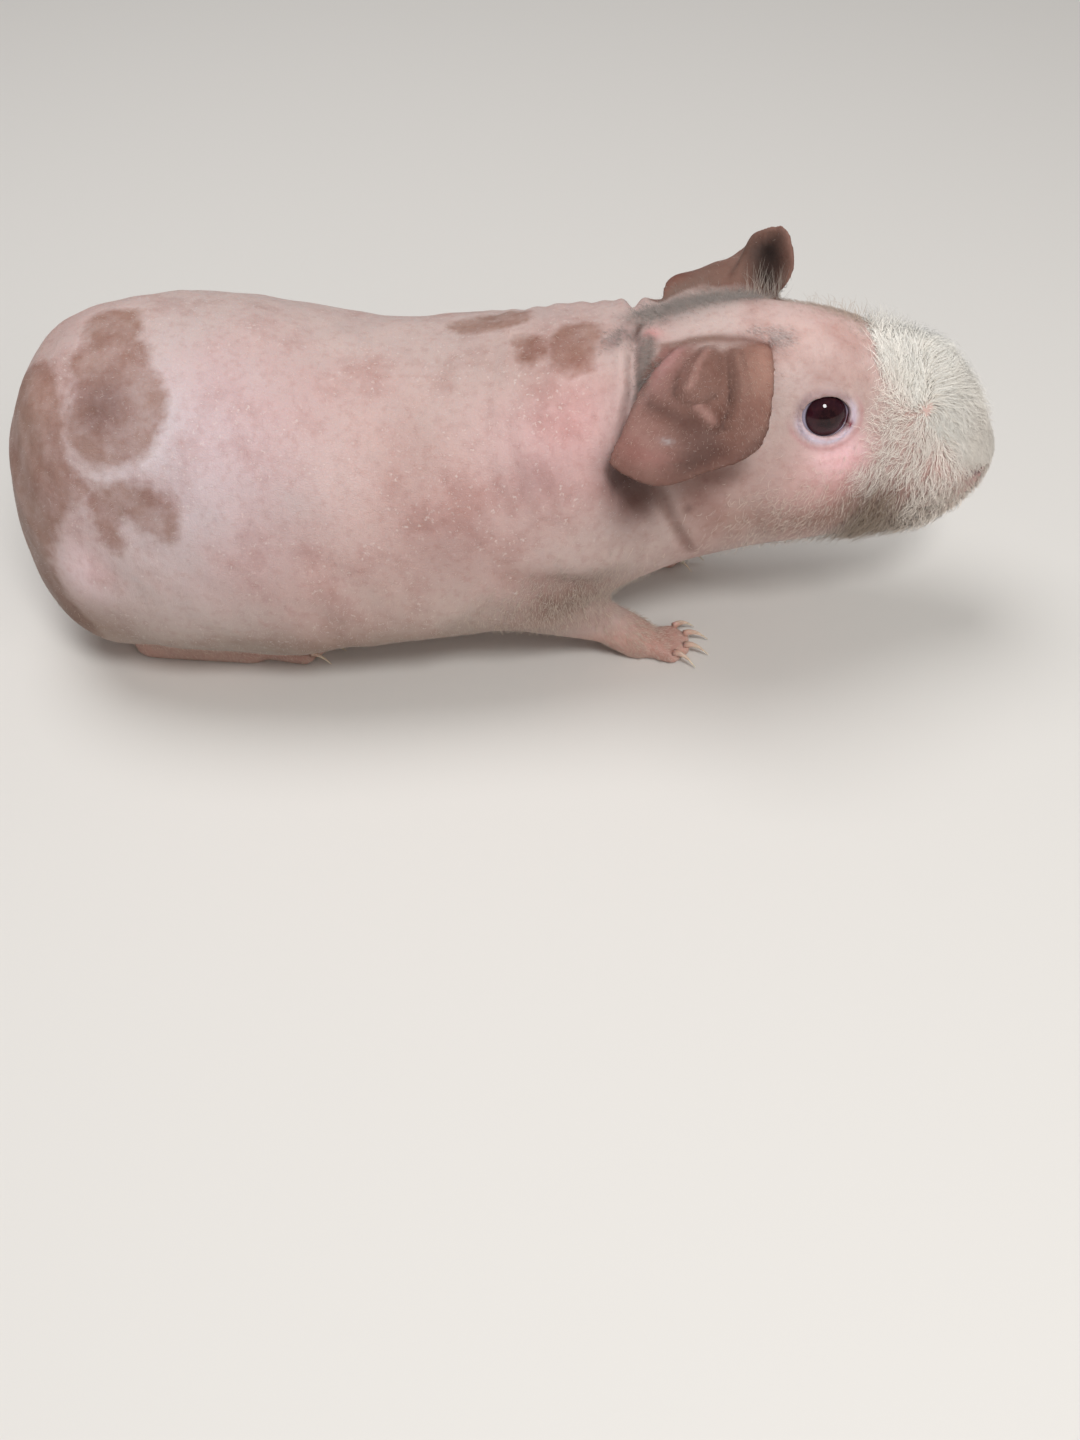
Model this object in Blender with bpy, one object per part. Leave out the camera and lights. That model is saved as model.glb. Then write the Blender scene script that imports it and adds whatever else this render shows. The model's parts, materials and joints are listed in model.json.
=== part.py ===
"""A skinny pig, the nearly hairless guinea pig, standing still: life size, in metres, +Z up, nose towards +X.

The origin is on the floor under the middle of the animal. The flesh is blocked out with lofted and rounded forms,
melted into one smooth skin, and then parted with thin cuts into the pieces that a person would name.
"""

import math

import bmesh
import bpy
import numpy as np
from mathutils import Matrix, Vector

# Gaps between neighbouring pieces: at a flat cut, round a limb or the jaw, and round the root of an ear or claw.
GAP = 0.0003
ROOM_GAP = 0.00036
SEAT_GAP = 0.00033

# Cross sections of the body from rump to nose: place along the body, half width, height of the back and of the
# underside, and how far up the section its widest line lies, as a share of its height.
BODY_SECTIONS = (
    (-0.1155, 0.0010, 0.0360, 0.0340, 0.50),
    (-0.1128, 0.0170, 0.0590, 0.0165, 0.46),
    (-0.1020, 0.0328, 0.0775, 0.0095, 0.42),
    (-0.0840, 0.0405, 0.0840, 0.0095, 0.38),
    (-0.0560, 0.0440, 0.0830, 0.0095, 0.36),
    (-0.0260, 0.0430, 0.0765, 0.0100, 0.36),
    (0.0020, 0.0390, 0.0785, 0.0120, 0.39),
    (0.0240, 0.0330, 0.0815, 0.0165, 0.44),
    (0.0420, 0.0275, 0.0830, 0.0230, 0.46),
    (0.0600, 0.0240, 0.0840, 0.0270, 0.46),
    (0.0780, 0.0210, 0.0815, 0.0290, 0.46),
    (0.0860, 0.0190, 0.0785, 0.0288, 0.46),
    (0.0930, 0.0168, 0.0785, 0.0286, 0.44),
    (0.0998, 0.0146, 0.0783, 0.0292, 0.40),
    (0.1046, 0.0127, 0.0752, 0.0309, 0.38),
    (0.1088, 0.0110, 0.0690, 0.0331, 0.38),
    (0.1130, 0.0089, 0.0612, 0.0374, 0.40),
    (0.1164, 0.0060, 0.0538, 0.0420, 0.45),
    (0.1184, 0.0010, 0.0488, 0.0468, 0.50),
)
BACK_ROUNDNESS = 2.05
BELLY_ROUNDNESS = 2.7
BODY_RINGS = 90
BODY_RING_POINTS = 56
BALL_DETAIL = 3

# Rounded forms of the head on the left side: centre and radii.
CHEEK = (Vector((0.0690, 0.0105, 0.0500)), Vector((0.0220, 0.0150, 0.0185)))
WHISKER_PAD = (Vector((0.0995, 0.0068, 0.0485)), Vector((0.0125, 0.0088, 0.0112)))
UPPER_LIP = (Vector((0.1073, 0.0042, 0.0430)), Vector((0.0056, 0.0050, 0.0056)))
ORBIT = (Vector((0.0745, 0.0120, 0.0665)), Vector((0.0125, 0.0080, 0.0098)))
NOSE_PAD = (Vector((0.1128, 0.0000, 0.0476)), Vector((0.0048, 0.0072, 0.0056)))
CHIN = (Vector((0.0980, 0.0000, 0.0355)), Vector((0.0126, 0.0088, 0.0080)))

# Where the trunk is parted, from rump to neck, and the lean of the head's cut.
RUMP_CUT = -0.062
LOIN_CUT = -0.019
NECK_CUT = 0.026
HEAD_CUT = 0.041
HEAD_CUT_LEAN = math.radians(-12)
MUZZLE_CUT = 0.0955
MUZZLE_CUT_LEAN = math.radians(-20)

# Side view of the mouth line, from in front of the lips to the corner of the mouth, down the jaw and out.
MOUTH_LINE = (
    (0.1300, 0.0402),
    (0.1120, 0.0393),
    (0.1060, 0.0380),
    (0.1010, 0.0386),
    (0.0960, 0.0358),
    (0.0895, 0.0300),
    (0.0855, 0.0150),
)

# Limbs on the left side, in the order of their joints; the right side mirrors them.
HAUNCH = (Vector((-0.0690, 0.0250, 0.0330)), Vector((0.0340, 0.0185, 0.0215)))
BUTTOCK = (Vector((-0.0880, 0.0200, 0.0300)), Vector((0.0200, 0.0185, 0.0215)))
KNEE = (Vector((-0.0450, 0.0300, 0.0225)), 0.0110)
ANKLE = (Vector((-0.0840, 0.0185, 0.0105)), 0.0062)
HEEL = (Vector((-0.0880, 0.0180, 0.0034)), 0.0050)
HIND_BALL = (Vector((-0.0620, 0.0200, 0.0030)), 0.0050)
SHOULDER = (Vector((0.0120, 0.0215, 0.0440)), Vector((0.0240, 0.0150, 0.0260)))
ELBOW = (Vector((0.0060, 0.0275, 0.0270)), 0.0100)
WRIST = (Vector((0.0280, 0.0195, 0.0095)), 0.0052)
PALM = (Vector((0.0350, 0.0185, 0.0034)), 0.0050)
LIMB_MARGIN = 0.0022
ANKLE_CUT_HEIGHT = 0.0092
WRIST_CUT_HEIGHT = 0.0105

# Room round each foot that goes with the limb when it is parted from the trunk.
FOREFOOT_ROOM = (Vector((0.0380, 0.0185, 0.0040)), Vector((0.0165, 0.0120, 0.0095)))
HINDFOOT_ROOM = (Vector((-0.0680, 0.0190, 0.0030)), Vector((0.0270, 0.0120, 0.0064)))
ROOM_CELL = 0.0018
ROOM_SMOOTHING = 8
ROOM_TRIANGLES = 180

# Toes: how many, reach from the ball of the foot to the tip, spread between neighbours, radii at root and tip.
FORE_TOES = (4, 0.0100, math.radians(19))
HIND_TOES = (3, 0.0150, math.radians(14))
TOE_ROOT_SHARE = 0.45
OUTER_TOE_SHORTER = 0.16
TOE_RADII = (0.0027, 0.0018)
TOE_HEIGHTS = (0.0024, 0.0016)
CLAW_LENGTH = 0.0062
CLAW_RADIUS = 0.0011
CLAW_SIDES = 5
CLAW_RINGS = 4
CLAW_ARCH = 0.0009
CLAW_TIP_HEIGHT = 0.0005
CLAW_ROOT_RISE = 0.0006
CLAW_FLATNESS = 0.8
CLAW_TAPER = 0.6

# Eyes, on the left side.
EYE_CENTRE = Vector((0.0748, 0.0148, 0.0678))
EYE_RADIUS = 0.0064
GAZE = Vector((0.20, 1.0, 0.30))
LID_THICKNESS = 0.0012
LID_OPENING = (0.0060, 0.0049)
LID_SLANT = math.radians(8)

# Nostrils: centre on the left, radii and slant; the cleft runs from between them down to the mouth.
NOSTRIL = (Vector((0.1150, 0.0060, 0.0458)), Vector((0.0032, 0.0030, 0.0010)))
NOSTRIL_SLANT = math.radians(18)
CLEFT = (Vector((0.1150, 0.0000, 0.0420)), Vector((0.0042, 0.0006, 0.0052)))

# Ears, each a curved sheet between the line where it grows from the head and its free edge, both from rear to
# front. The middle bulges by the third row, the root sinks into the head, and one furrow runs out from the root.
RIGHT_EAR = dict(
    root=((0.0430, -0.0105, 0.0803), (0.0520, -0.0075, 0.0815), (0.0630, -0.0105, 0.0803)),
    edge=(
        (0.0390, -0.0160, 0.0785), (0.0336, -0.0240, 0.0765), (0.0308, -0.0290, 0.0715), (0.0284, -0.0340, 0.0668),
        (0.0388, -0.0385, 0.0643), (0.0495, -0.0390, 0.0686), (0.0570, -0.0375, 0.0705), (0.0616, -0.0340, 0.0735),
        (0.0634, -0.0260, 0.0775), (0.0640, -0.0180, 0.0812), (0.0633, -0.0130, 0.0815),
    ),
    bulge=((0, 0, 0.0005), (0, -0.002, 0.003), (0, -0.004, 0.004), (0, -0.002, 0.002), (0, 0, 0.001)),
    sink=(0, 0.0035, -0.0045), furrow=0.0024, furrow_place=0.54,
)
LEFT_EAR = dict(
    root=((0.0410, 0.0095, 0.0808), (0.0530, 0.0110, 0.0805), (0.0650, 0.0090, 0.0800)),
    edge=(
        (0.0395, 0.0110, 0.0818), (0.0425, 0.0190, 0.0815), (0.0485, 0.0270, 0.0786), (0.0550, 0.0310, 0.0784),
        (0.0593, 0.0290, 0.0832), (0.0625, 0.0255, 0.0895), (0.0676, 0.0200, 0.0932), (0.0699, 0.0140, 0.0890),
        (0.0682, 0.0095, 0.0845),
    ),
    bulge=((0, 0, 0.0005), (0, 0, 0.003), (0, 0, 0.002), (0, 0.004, -0.001), (0, 0.001, 0)),
    sink=(0, -0.0035, -0.0045), furrow=0.0016, furrow_place=0.50,
)
FURROW_WIDTH = 0.07
EAR_ROWS = 10
EAR_COLUMNS = 18
EAR_SUNK = -0.25
EAR_END_THINNESS = 0.4
EAR_ROOT_THICKNESS = 0.0028
EAR_EDGE_THICKNESS = 0.0012

# Size of the cells in which the forms are melted together, passes of smoothing, and triangles kept.
MASS_CELL = 0.0016
MASS_SMOOTHING = 22
FINE_CELL = 0.0009
FINE_SMOOTHING = 6
FLESH_TRIANGLES = 5400

# Colours and roughness of the finishes, as seen in daylight.
FINISHES = {
    "pink_skin": ("#cda6a2", 0.52),
    "mottled_skin": ("#a88a80", 0.55),
    "face_skin": ("#c9a49d", 0.52),
    "nose_fur": ("#cfc8ba", 0.80),
    "ear_skin": ("#8d6a5f", 0.55),
    "foot_skin": ("#d0bdab", 0.60),
    "dark_eye": ("#2a1014", 0.08),
    "claw_horn": ("#cdb9a2", 0.40),
}


def clear_scene():
    for obj in list(bpy.data.objects):
        bpy.data.objects.remove(obj)


def mirrored(point, side):
    """The same place on the left side (1) or the right side (-1)."""
    return Vector((point.x, point.y * side, point.z))


def new_object(name, shape):
    """An object from a bmesh, which is used up."""
    mesh = bpy.data.meshes.new(name)
    shape.to_mesh(mesh)
    shape.free()
    obj = bpy.data.objects.new(name, mesh)
    bpy.context.collection.objects.link(obj)
    return obj


def duplicate(obj, name):
    copy = bpy.data.objects.new(name, obj.data.copy())
    bpy.context.collection.objects.link(copy)
    return copy


def modify(obj, kind, **settings):
    """Adds a modifier of this kind with its settings and applies it."""
    modifier = obj.modifiers.new(kind, kind)
    for name, value in settings.items():
        setattr(modifier, name, value)
    with bpy.context.temp_override(object=obj, active_object=obj, selected_objects=[obj]):
        bpy.ops.object.modifier_apply(modifier=modifier.name)


def combine(obj, tool, operation, solver="EXACT"):
    """Boolean of the object with a tool, which is used up; only the largest closed surface stays."""
    modify(obj, "BOOLEAN", object=tool, operation=operation, solver=solver)
    bpy.data.objects.remove(tool)
    keep_largest(obj)


def keep_largest(obj):
    """Deletes all but the largest of the object's closed surfaces."""
    shape = bmesh.new()
    shape.from_mesh(obj.data)
    waiting = set(shape.verts)
    bodies = []
    while waiting:
        body = []
        reached = [waiting.pop()]
        while reached:
            vertex = reached.pop()
            body.append(vertex)
            for edge in vertex.link_edges:
                other = edge.other_vert(vertex)
                if other in waiting:
                    waiting.remove(other)
                    reached.append(other)
        bodies.append(body)
    bodies.sort(key=len)
    scraps = [vertex for body in bodies[:-1] for vertex in body]
    bmesh.ops.delete(shape, geom=scraps, context="VERTS")
    shape.to_mesh(obj.data)
    shape.free()


def trim(obj, point, normal):
    """Cuts away what lies past a plane on the side of its normal, and closes the cut."""
    shape = bmesh.new()
    shape.from_mesh(obj.data)
    geometry = shape.verts[:] + shape.edges[:] + shape.faces[:]
    bmesh.ops.bisect_plane(
        shape, geom=geometry, dist=1e-7, plane_co=point, plane_no=normal, clear_outer=True
    )
    rim = [edge for edge in shape.edges if edge.is_boundary]
    bmesh.ops.triangle_fill(shape, edges=rim, use_beauty=True, normal=normal)
    bmesh.ops.recalc_face_normals(shape, faces=shape.faces)
    shape.to_mesh(obj.data)
    shape.free()
    keep_largest(obj)


def smooth_rows(rows, count):
    """Catmull-Rom curve through the rows of a table, read at evenly spaced places."""
    table = np.array(rows, float)
    padded = np.vstack([2 * table[0] - table[1], table, 2 * table[-1] - table[-2]])
    places = np.linspace(0, len(table) - 1, count)
    lower = np.minimum(places.astype(int), len(table) - 2)
    t = (places - lower)[:, None]
    before, start, end, after = (padded[lower + k] for k in range(4))
    return 0.5 * (
        2 * start
        + (end - before) * t
        + (2 * before - 5 * start + 4 * end - after) * t**2
        + (3 * start - before - 3 * end + after) * t**3
    )


def body_form():
    """The trunk, neck and head as one loft of flattened ovals."""
    shape = bmesh.new()
    rings = []
    for x, half_width, top, bottom, widest in smooth_rows(BODY_SECTIONS, BODY_RINGS):
        middle = bottom + widest * (top - bottom)
        ring = []
        for step in range(BODY_RING_POINTS):
            angle = 2 * math.pi * step / BODY_RING_POINTS
            across, up = math.cos(angle), math.sin(angle)
            power = 2 / (BACK_ROUNDNESS if up > 0 else BELLY_ROUNDNESS)
            rise = (top - middle) if up > 0 else (middle - bottom)
            y = half_width * math.copysign(abs(across) ** power, across)
            z = middle + rise * math.copysign(abs(up) ** power, up)
            ring.append(shape.verts.new((x, y, z)))
        rings.append(ring)
    for near, far in zip(rings, rings[1:]):
        for i in range(BODY_RING_POINTS):
            j = (i + 1) % BODY_RING_POINTS
            shape.faces.new((near[i], near[j], far[j], far[i]))
    for ring in (rings[0], rings[-1]):
        shape.faces.new(ring)
    bmesh.ops.recalc_face_normals(shape, faces=shape.faces)
    return new_object("form", shape)


def ellipsoid(centre, radii, turn=Matrix.Identity(4), segments=32):
    """A rounded form with its own radii, turned in place."""
    shape = bmesh.new()
    place = Matrix.Translation(centre) @ turn @ Matrix.Diagonal((*radii, 1))
    bmesh.ops.create_uvsphere(
        shape, u_segments=segments, v_segments=segments * 5 // 8, radius=1, matrix=place
    )
    return new_object("form", shape)


def capsule(start, end, margin=0.0):
    """A limb segment, given as two balls of centre and radius: the tight skin round them."""
    shape = bmesh.new()
    for centre, radius in (start, end):
        place = Matrix.Translation(centre)
        bmesh.ops.create_icosphere(shape, subdivisions=BALL_DETAIL, radius=radius + margin, matrix=place)
    made = bmesh.ops.convex_hull(shape, input=shape.verts)
    bmesh.ops.delete(shape, geom=list(set(made["geom_interior"])), context="VERTS")
    bmesh.ops.recalc_face_normals(shape, faces=shape.faces)
    return new_object("form", shape)


def mirrored_ball(ball, side):
    return mirrored(ball[0], side), ball[1]


def joined(forms, name):
    """One object with all the forms' faces; the forms are used up."""
    shape = bmesh.new()
    for form in forms:
        shape.from_mesh(form.data)
        bpy.data.objects.remove(form)
    return new_object(name, shape)


def melted(forms, name, cell, smoothing):
    """The forms as one closed, smooth skin."""
    obj = joined(forms, name)
    modify(obj, "REMESH", mode="VOXEL", voxel_size=cell)
    modify(obj, "SMOOTH", factor=0.5, iterations=smoothing)
    return obj


def toe_line(ball, toes, side, index):
    """Root and tip balls of one toe, counted from the inner side of the foot."""
    count, reach, spread = toes
    angle = side * spread * (index - (count - 1) / 2)
    ahead = Vector((math.cos(angle), math.sin(angle), 0))
    centre = mirrored(ball[0], side)
    length = reach * (1 - OUTER_TOE_SHORTER * abs(index - (count - 1) / 2))
    root = centre + ahead * ball[1] * TOE_ROOT_SHARE
    tip = root + ahead * length
    root.z, tip.z = TOE_HEIGHTS
    return (root, TOE_RADII[0]), (tip, TOE_RADII[1])


def foot_forms(ball, toes, side):
    forms = []
    for index in range(toes[0]):
        forms.append(capsule(*toe_line(ball, toes, side, index)))
    return forms


def limb_forms(side, margin=0.0):
    """The forms of the fore and hind limb of one side, without toes, a margin larger all round."""
    spread = Vector((margin, margin, margin))
    fore = [
        ellipsoid(mirrored(SHOULDER[0], side), SHOULDER[1] + spread),
        capsule(mirrored_ball(ELBOW, side), mirrored_ball(WRIST, side), margin),
        capsule(mirrored_ball(WRIST, side), mirrored_ball(PALM, side), margin),
    ]
    hind = [
        ellipsoid(mirrored(HAUNCH[0], side), HAUNCH[1] + spread),
        capsule(mirrored_ball(KNEE, side), mirrored_ball(ANKLE, side), margin),
        capsule(mirrored_ball(ANKLE, side), mirrored_ball(HEEL, side), margin),
        capsule(mirrored_ball(HEEL, side), mirrored_ball(HIND_BALL, side), margin),
    ]
    return fore, hind


def large_forms():
    """The forms that set the main masses."""
    forms = [body_form()]
    for side in (1, -1):
        for centre, radii in (CHEEK, BUTTOCK, ORBIT):
            forms.append(ellipsoid(mirrored(centre, side), radii))
        fore, hind = limb_forms(side)
        forms += fore + hind
    return forms


def fine_forms():
    """Nose, lips, whisker pads, chin, feet and toes."""
    forms = [ellipsoid(*NOSE_PAD), ellipsoid(*CHIN)]
    for side in (1, -1):
        for centre, radii in (WHISKER_PAD, UPPER_LIP):
            forms.append(ellipsoid(mirrored(centre, side), radii))
        forms.append(capsule(mirrored_ball(WRIST, side), mirrored_ball(PALM, side)))
        forms.append(capsule(mirrored_ball(HEEL, side), mirrored_ball(HIND_BALL, side)))
        forms += foot_forms(PALM, FORE_TOES, side)
        forms += foot_forms(HIND_BALL, HIND_TOES, side)
    return forms


def triangle_count(obj):
    return sum(len(face.vertices) - 2 for face in obj.data.polygons)


def make_flesh():
    """The whole animal without ears, as one skin with flat soles."""
    masses = melted(large_forms(), "masses", MASS_CELL, MASS_SMOOTHING)
    flesh = melted([masses, *fine_forms()], "flesh", FINE_CELL, FINE_SMOOTHING)
    modify(flesh, "DECIMATE", ratio=FLESH_TRIANGLES / triangle_count(flesh))
    trim(flesh, Vector((0, 0, 0)), Vector((0, 0, -1)))
    return flesh


def grown(obj, name, distance):
    """A copy whose surface lies this far outside the object's."""
    copy = duplicate(obj, name)
    modify(copy, "DISPLACE", mid_level=0.0, strength=distance)
    return copy


def part_by(obj, room, name):
    """Takes the part inside the closed room out of the object, as a new object with a gap to the rest."""
    wider_room = grown(room, "wider_room", ROOM_GAP)
    piece = duplicate(obj, name)
    combine(piece, room, "INTERSECT")
    combine(obj, wider_room, "DIFFERENCE")
    return piece


def part_across(obj, point, normal, name):
    """Takes the part past a plane off the object, as a new object with a gap to the rest."""
    piece = duplicate(obj, name)
    trim(piece, point + normal * GAP / 2, -normal)
    trim(obj, point - normal * GAP / 2, normal)
    return piece


def part_limbs(flesh):
    """Parts the four legs from the trunk, and each foot from its leg."""
    pieces = []
    for side, side_name in ((1, "left"), (-1, "right")):
        fore, hind = limb_forms(side, LIMB_MARGIN)
        limbs = (
            (fore, FOREFOOT_ROOM, "fore", WRIST_CUT_HEIGHT),
            (hind, HINDFOOT_ROOM, "hind", ANKLE_CUT_HEIGHT),
        )
        for forms, (centre, radii), limb_name, cut_height in limbs:
            foot_room = ellipsoid(mirrored(centre, side), radii)
            room = melted([*forms, foot_room], "room", ROOM_CELL, ROOM_SMOOTHING)
            modify(room, "DECIMATE", ratio=ROOM_TRIANGLES / triangle_count(room))
            leg = part_by(flesh, room, f"{limb_name}leg_{side_name}")
            down = Vector((0, 0, -1))
            foot = part_across(leg, Vector((0, 0, cut_height)), down, f"{limb_name}foot_{side_name}")
            pieces += [leg, foot]
    return pieces


def gaze_frame(side):
    """Turn that takes X along the eye's opening and Z along the gaze."""
    gaze = mirrored(GAZE, side).normalized()
    ahead = (Vector((1, 0, 0)) - gaze * gaze.x).normalized()
    ahead = Matrix.Rotation(side * LID_SLANT, 3, gaze) @ ahead
    return Matrix((ahead, gaze.cross(ahead), gaze)).transposed().to_4x4()


def ball(centre, radius, turn, name):
    obj = ellipsoid(centre, Vector((radius, radius, radius)), turn, 18)
    obj.name = name
    return obj


def add_lids(head, side):
    """Raises a ring of lid round one eye, with its opening and the socket behind it."""
    centre = mirrored(EYE_CENTRE, side)
    turn = gaze_frame(side)
    combine(head, ball(centre, EYE_RADIUS + LID_THICKNESS, turn, "lid"), "UNION")
    shape = bmesh.new()
    reach = EYE_RADIUS * 2
    outward = Matrix.Translation((0, 0, reach / 2))
    stretch = Matrix.Diagonal((LID_OPENING[0], LID_OPENING[1], 1, 1))
    bmesh.ops.create_cone(
        shape, cap_ends=True, segments=24, radius1=1, radius2=1, depth=reach,
        matrix=Matrix.Translation(centre) @ turn @ outward @ stretch,
    )
    combine(head, new_object("opening", shape), "DIFFERENCE")
    combine(head, ball(centre, EYE_RADIUS + GAP, turn, "socket"), "DIFFERENCE")


def cut_nostrils(head):
    """Opens the two nostrils and the cleft of the upper lip."""
    for side in (1, -1):
        turn = Matrix.Rotation(side * NOSTRIL_SLANT, 4, "X")
        combine(head, ellipsoid(mirrored(NOSTRIL[0], side), NOSTRIL[1], turn, 12), "DIFFERENCE")
    combine(head, ellipsoid(*CLEFT, segments=12), "DIFFERENCE")


def jaw_room():
    """The space of the lower jaw: all below the mouth line, across the whole head."""
    shape = bmesh.new()
    low = MOUTH_LINE[-1][1]
    outline = [*MOUTH_LINE, (MOUTH_LINE[0][0], low)]
    sides = []
    for y in (-0.04, 0.04):
        sides.append([shape.verts.new((x, y, z)) for x, z in outline])
    count = len(outline)
    for i in range(count):
        j = (i + 1) % count
        shape.faces.new((sides[0][i], sides[0][j], sides[1][j], sides[1][i]))
    shape.faces.new(sides[0])
    shape.faces.new(sides[1])
    bmesh.ops.recalc_face_normals(shape, faces=shape.faces)
    return new_object("jaw_room", shape)


def leaning(angle):
    """Normal of an upright cut across the body that leans back by this angle."""
    return Vector((math.cos(angle), 0, -math.sin(angle)))


def part_trunk(flesh):
    """Parts what is left of the flesh into head, muzzle, lower jaw, neck, chest, abdomen and rump."""
    middle = Vector((0, 0, 0.055))
    head = part_across(flesh, middle + Vector((HEAD_CUT, 0, 0)), leaning(HEAD_CUT_LEAN), "head")
    neck = part_across(flesh, middle + Vector((NECK_CUT, 0, 0)), leaning(HEAD_CUT_LEAN), "neck")
    chest = part_across(flesh, Vector((LOIN_CUT, 0, 0)), leaning(0), "chest")
    abdomen = part_across(flesh, Vector((RUMP_CUT, 0, 0)), leaning(0), "abdomen")
    flesh.name = "rump"
    for side in (1, -1):
        add_lids(head, side)
    cut_nostrils(head)
    jaw = part_by(head, jaw_room(), "lower_jaw")
    muzzle = part_across(
        head, middle + Vector((MUZZLE_CUT, 0, 0)), leaning(MUZZLE_CUT_LEAN), "muzzle"
    )
    return head, muzzle, jaw, neck, chest, abdomen, flesh


def point_on(points, share):
    """Place on the smooth curve through the points, this share of the way along it."""
    padded = [2 * Vector(points[0]) - Vector(points[1]), *map(Vector, points)]
    padded.append(2 * Vector(points[-1]) - Vector(points[-2]))
    place = min(max(share, 0), 1) * (len(points) - 1)
    index = min(int(place), len(points) - 2)
    t = place - index
    before, start, end, after = padded[index : index + 4]
    curve = 2 * start + (end - before) * t + (2 * before - 5 * start + 4 * end - after) * t**2
    return (curve + (3 * start - before - 3 * end + after) * t**3) / 2


def ear_middle(ear, along, across):
    """Middle of the ear's sheet; along runs from root (0) to edge (1), across from rear (0) to front (1)."""
    root = point_on(ear["root"], across)
    if along < 0:
        return root + Vector(ear["sink"]) * along / EAR_SUNK
    bulge = point_on(ear["bulge"], across) * math.sin(math.pi * along**0.8)
    return root + (point_on(ear["edge"], across) - root) * along + bulge


def ear_point(ear, side, along, across):
    """A place on the ear's sheet with its furrow, and the sheet's outward normal there."""
    step = 0.01
    forward = ear_middle(ear, along, across + step) - ear_middle(ear, along, across - step)
    outward = ear_middle(ear, along + step, across) - ear_middle(ear, along - step, across)
    normal = forward.cross(outward).normalized() * side
    depth = ear["furrow"] * math.exp(-(((across - ear["furrow_place"]) / FURROW_WIDTH) ** 2))
    depth *= math.sin(math.pi * min(1, max(0, along)))
    return ear_middle(ear, along, across) - normal * depth, normal


def rim_of(grid):
    """The outermost points of a grid, in order round it."""
    return [*grid[0], *(line[-1] for line in grid[1:-1]), *reversed(grid[-1]), *(line[0] for line in grid[-2:0:-1])]


def make_ear(name, ear, side, grown_flesh):
    """One ear: a curved sheet, thinner towards its edge, seated on the head with a gap."""
    shape = bmesh.new()
    upper, lower = [], []
    for row in range(EAR_ROWS + 1):
        along = EAR_SUNK + (1 - EAR_SUNK) * row / EAR_ROWS
        full_thickness = EAR_ROOT_THICKNESS + (EAR_EDGE_THICKNESS - EAR_ROOT_THICKNESS) * max(0, along)
        for grid in (upper, lower):
            grid.append([])
        for column in range(EAR_COLUMNS + 1):
            across = column / EAR_COLUMNS
            thickness = full_thickness * min(1, EAR_END_THINNESS + 4 * min(across, 1 - across))
            point, normal = ear_point(ear, side, along, across)
            upper[-1].append(shape.verts.new(point + normal * thickness / 2))
            lower[-1].append(shape.verts.new(point - normal * thickness / 2))
    for grid in (upper, lower):
        for near, far in zip(grid, grid[1:]):
            for i in range(EAR_COLUMNS):
                shape.faces.new((near[i], near[i + 1], far[i + 1]))
                shape.faces.new((near[i], far[i + 1], far[i]))
    top_rim, low_rim = rim_of(upper), rim_of(lower)
    for i in range(len(top_rim)):
        j = (i + 1) % len(top_rim)
        shape.faces.new((top_rim[i], top_rim[j], low_rim[j]))
        shape.faces.new((top_rim[i], low_rim[j], low_rim[i]))
    bmesh.ops.recalc_face_normals(shape, faces=shape.faces)
    obj = new_object(name, shape)
    combine(obj, duplicate(grown_flesh, "seat"), "DIFFERENCE")
    return obj


def make_claw(name, toe, grown_flesh):
    """A curved, tapered claw that grows from the tip of a toe, with a gap to it."""
    (root, _), (tip, _) = toe
    ahead = Vector((tip.x - root.x, tip.y - root.y, 0)).normalized()
    aside = Vector((-ahead.y, ahead.x, 0))
    start = tip + Vector((0, 0, CLAW_ROOT_RISE))
    shape = bmesh.new()
    rings = []
    for ring_index in range(CLAW_RINGS):
        share = ring_index / CLAW_RINGS
        centre = start + ahead * CLAW_LENGTH * share
        centre.z = start.z + CLAW_ARCH * math.sin(math.pi * share) - (start.z - CLAW_TIP_HEIGHT) * share**2
        radius = CLAW_RADIUS * (1 - share) ** CLAW_TAPER
        ring = []
        for side_index in range(CLAW_SIDES):
            angle = 2 * math.pi * side_index / CLAW_SIDES
            offset = aside * math.cos(angle) * CLAW_FLATNESS + Vector((0, 0, math.sin(angle)))
            ring.append(shape.verts.new(centre + offset * radius))
        rings.append(ring)
    point = start + ahead * CLAW_LENGTH
    point.z = CLAW_TIP_HEIGHT
    end = shape.verts.new(point)
    for near, far in zip(rings, rings[1:]):
        for i in range(CLAW_SIDES):
            j = (i + 1) % CLAW_SIDES
            shape.faces.new((near[i], near[j], far[j], far[i]))
    for i in range(CLAW_SIDES):
        shape.faces.new((rings[-1][i], rings[-1][(i + 1) % CLAW_SIDES], end))
    shape.faces.new(rings[0])
    bmesh.ops.recalc_face_normals(shape, faces=shape.faces)
    obj = new_object(name, shape)
    combine(obj, duplicate(grown_flesh, "seat"), "DIFFERENCE")
    return obj


def make_claws(grown_flesh):
    claws = []
    for side, side_name in ((1, "left"), (-1, "right")):
        for foot_name, palm, toes in (("fore", PALM, FORE_TOES), ("hind", HIND_BALL, HIND_TOES)):
            for index in range(toes[0]):
                toe = toe_line(palm, toes, side, index)
                claws.append(make_claw(f"{foot_name}claw_{side_name}_{index + 1}", toe, grown_flesh))
    return claws


def stand_at_origin(pieces):
    """Moves all pieces together, so that the middle of the whole box lies over the origin, on the floor."""
    points = np.array([vertex.co for piece in pieces for vertex in piece.data.vertices])
    low, high = points.min(axis=0), points.max(axis=0)
    shift = Matrix.Translation((-(low[0] + high[0]) / 2, -(low[1] + high[1]) / 2, -low[2]))
    for piece in pieces:
        piece.data.transform(shift)


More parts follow.
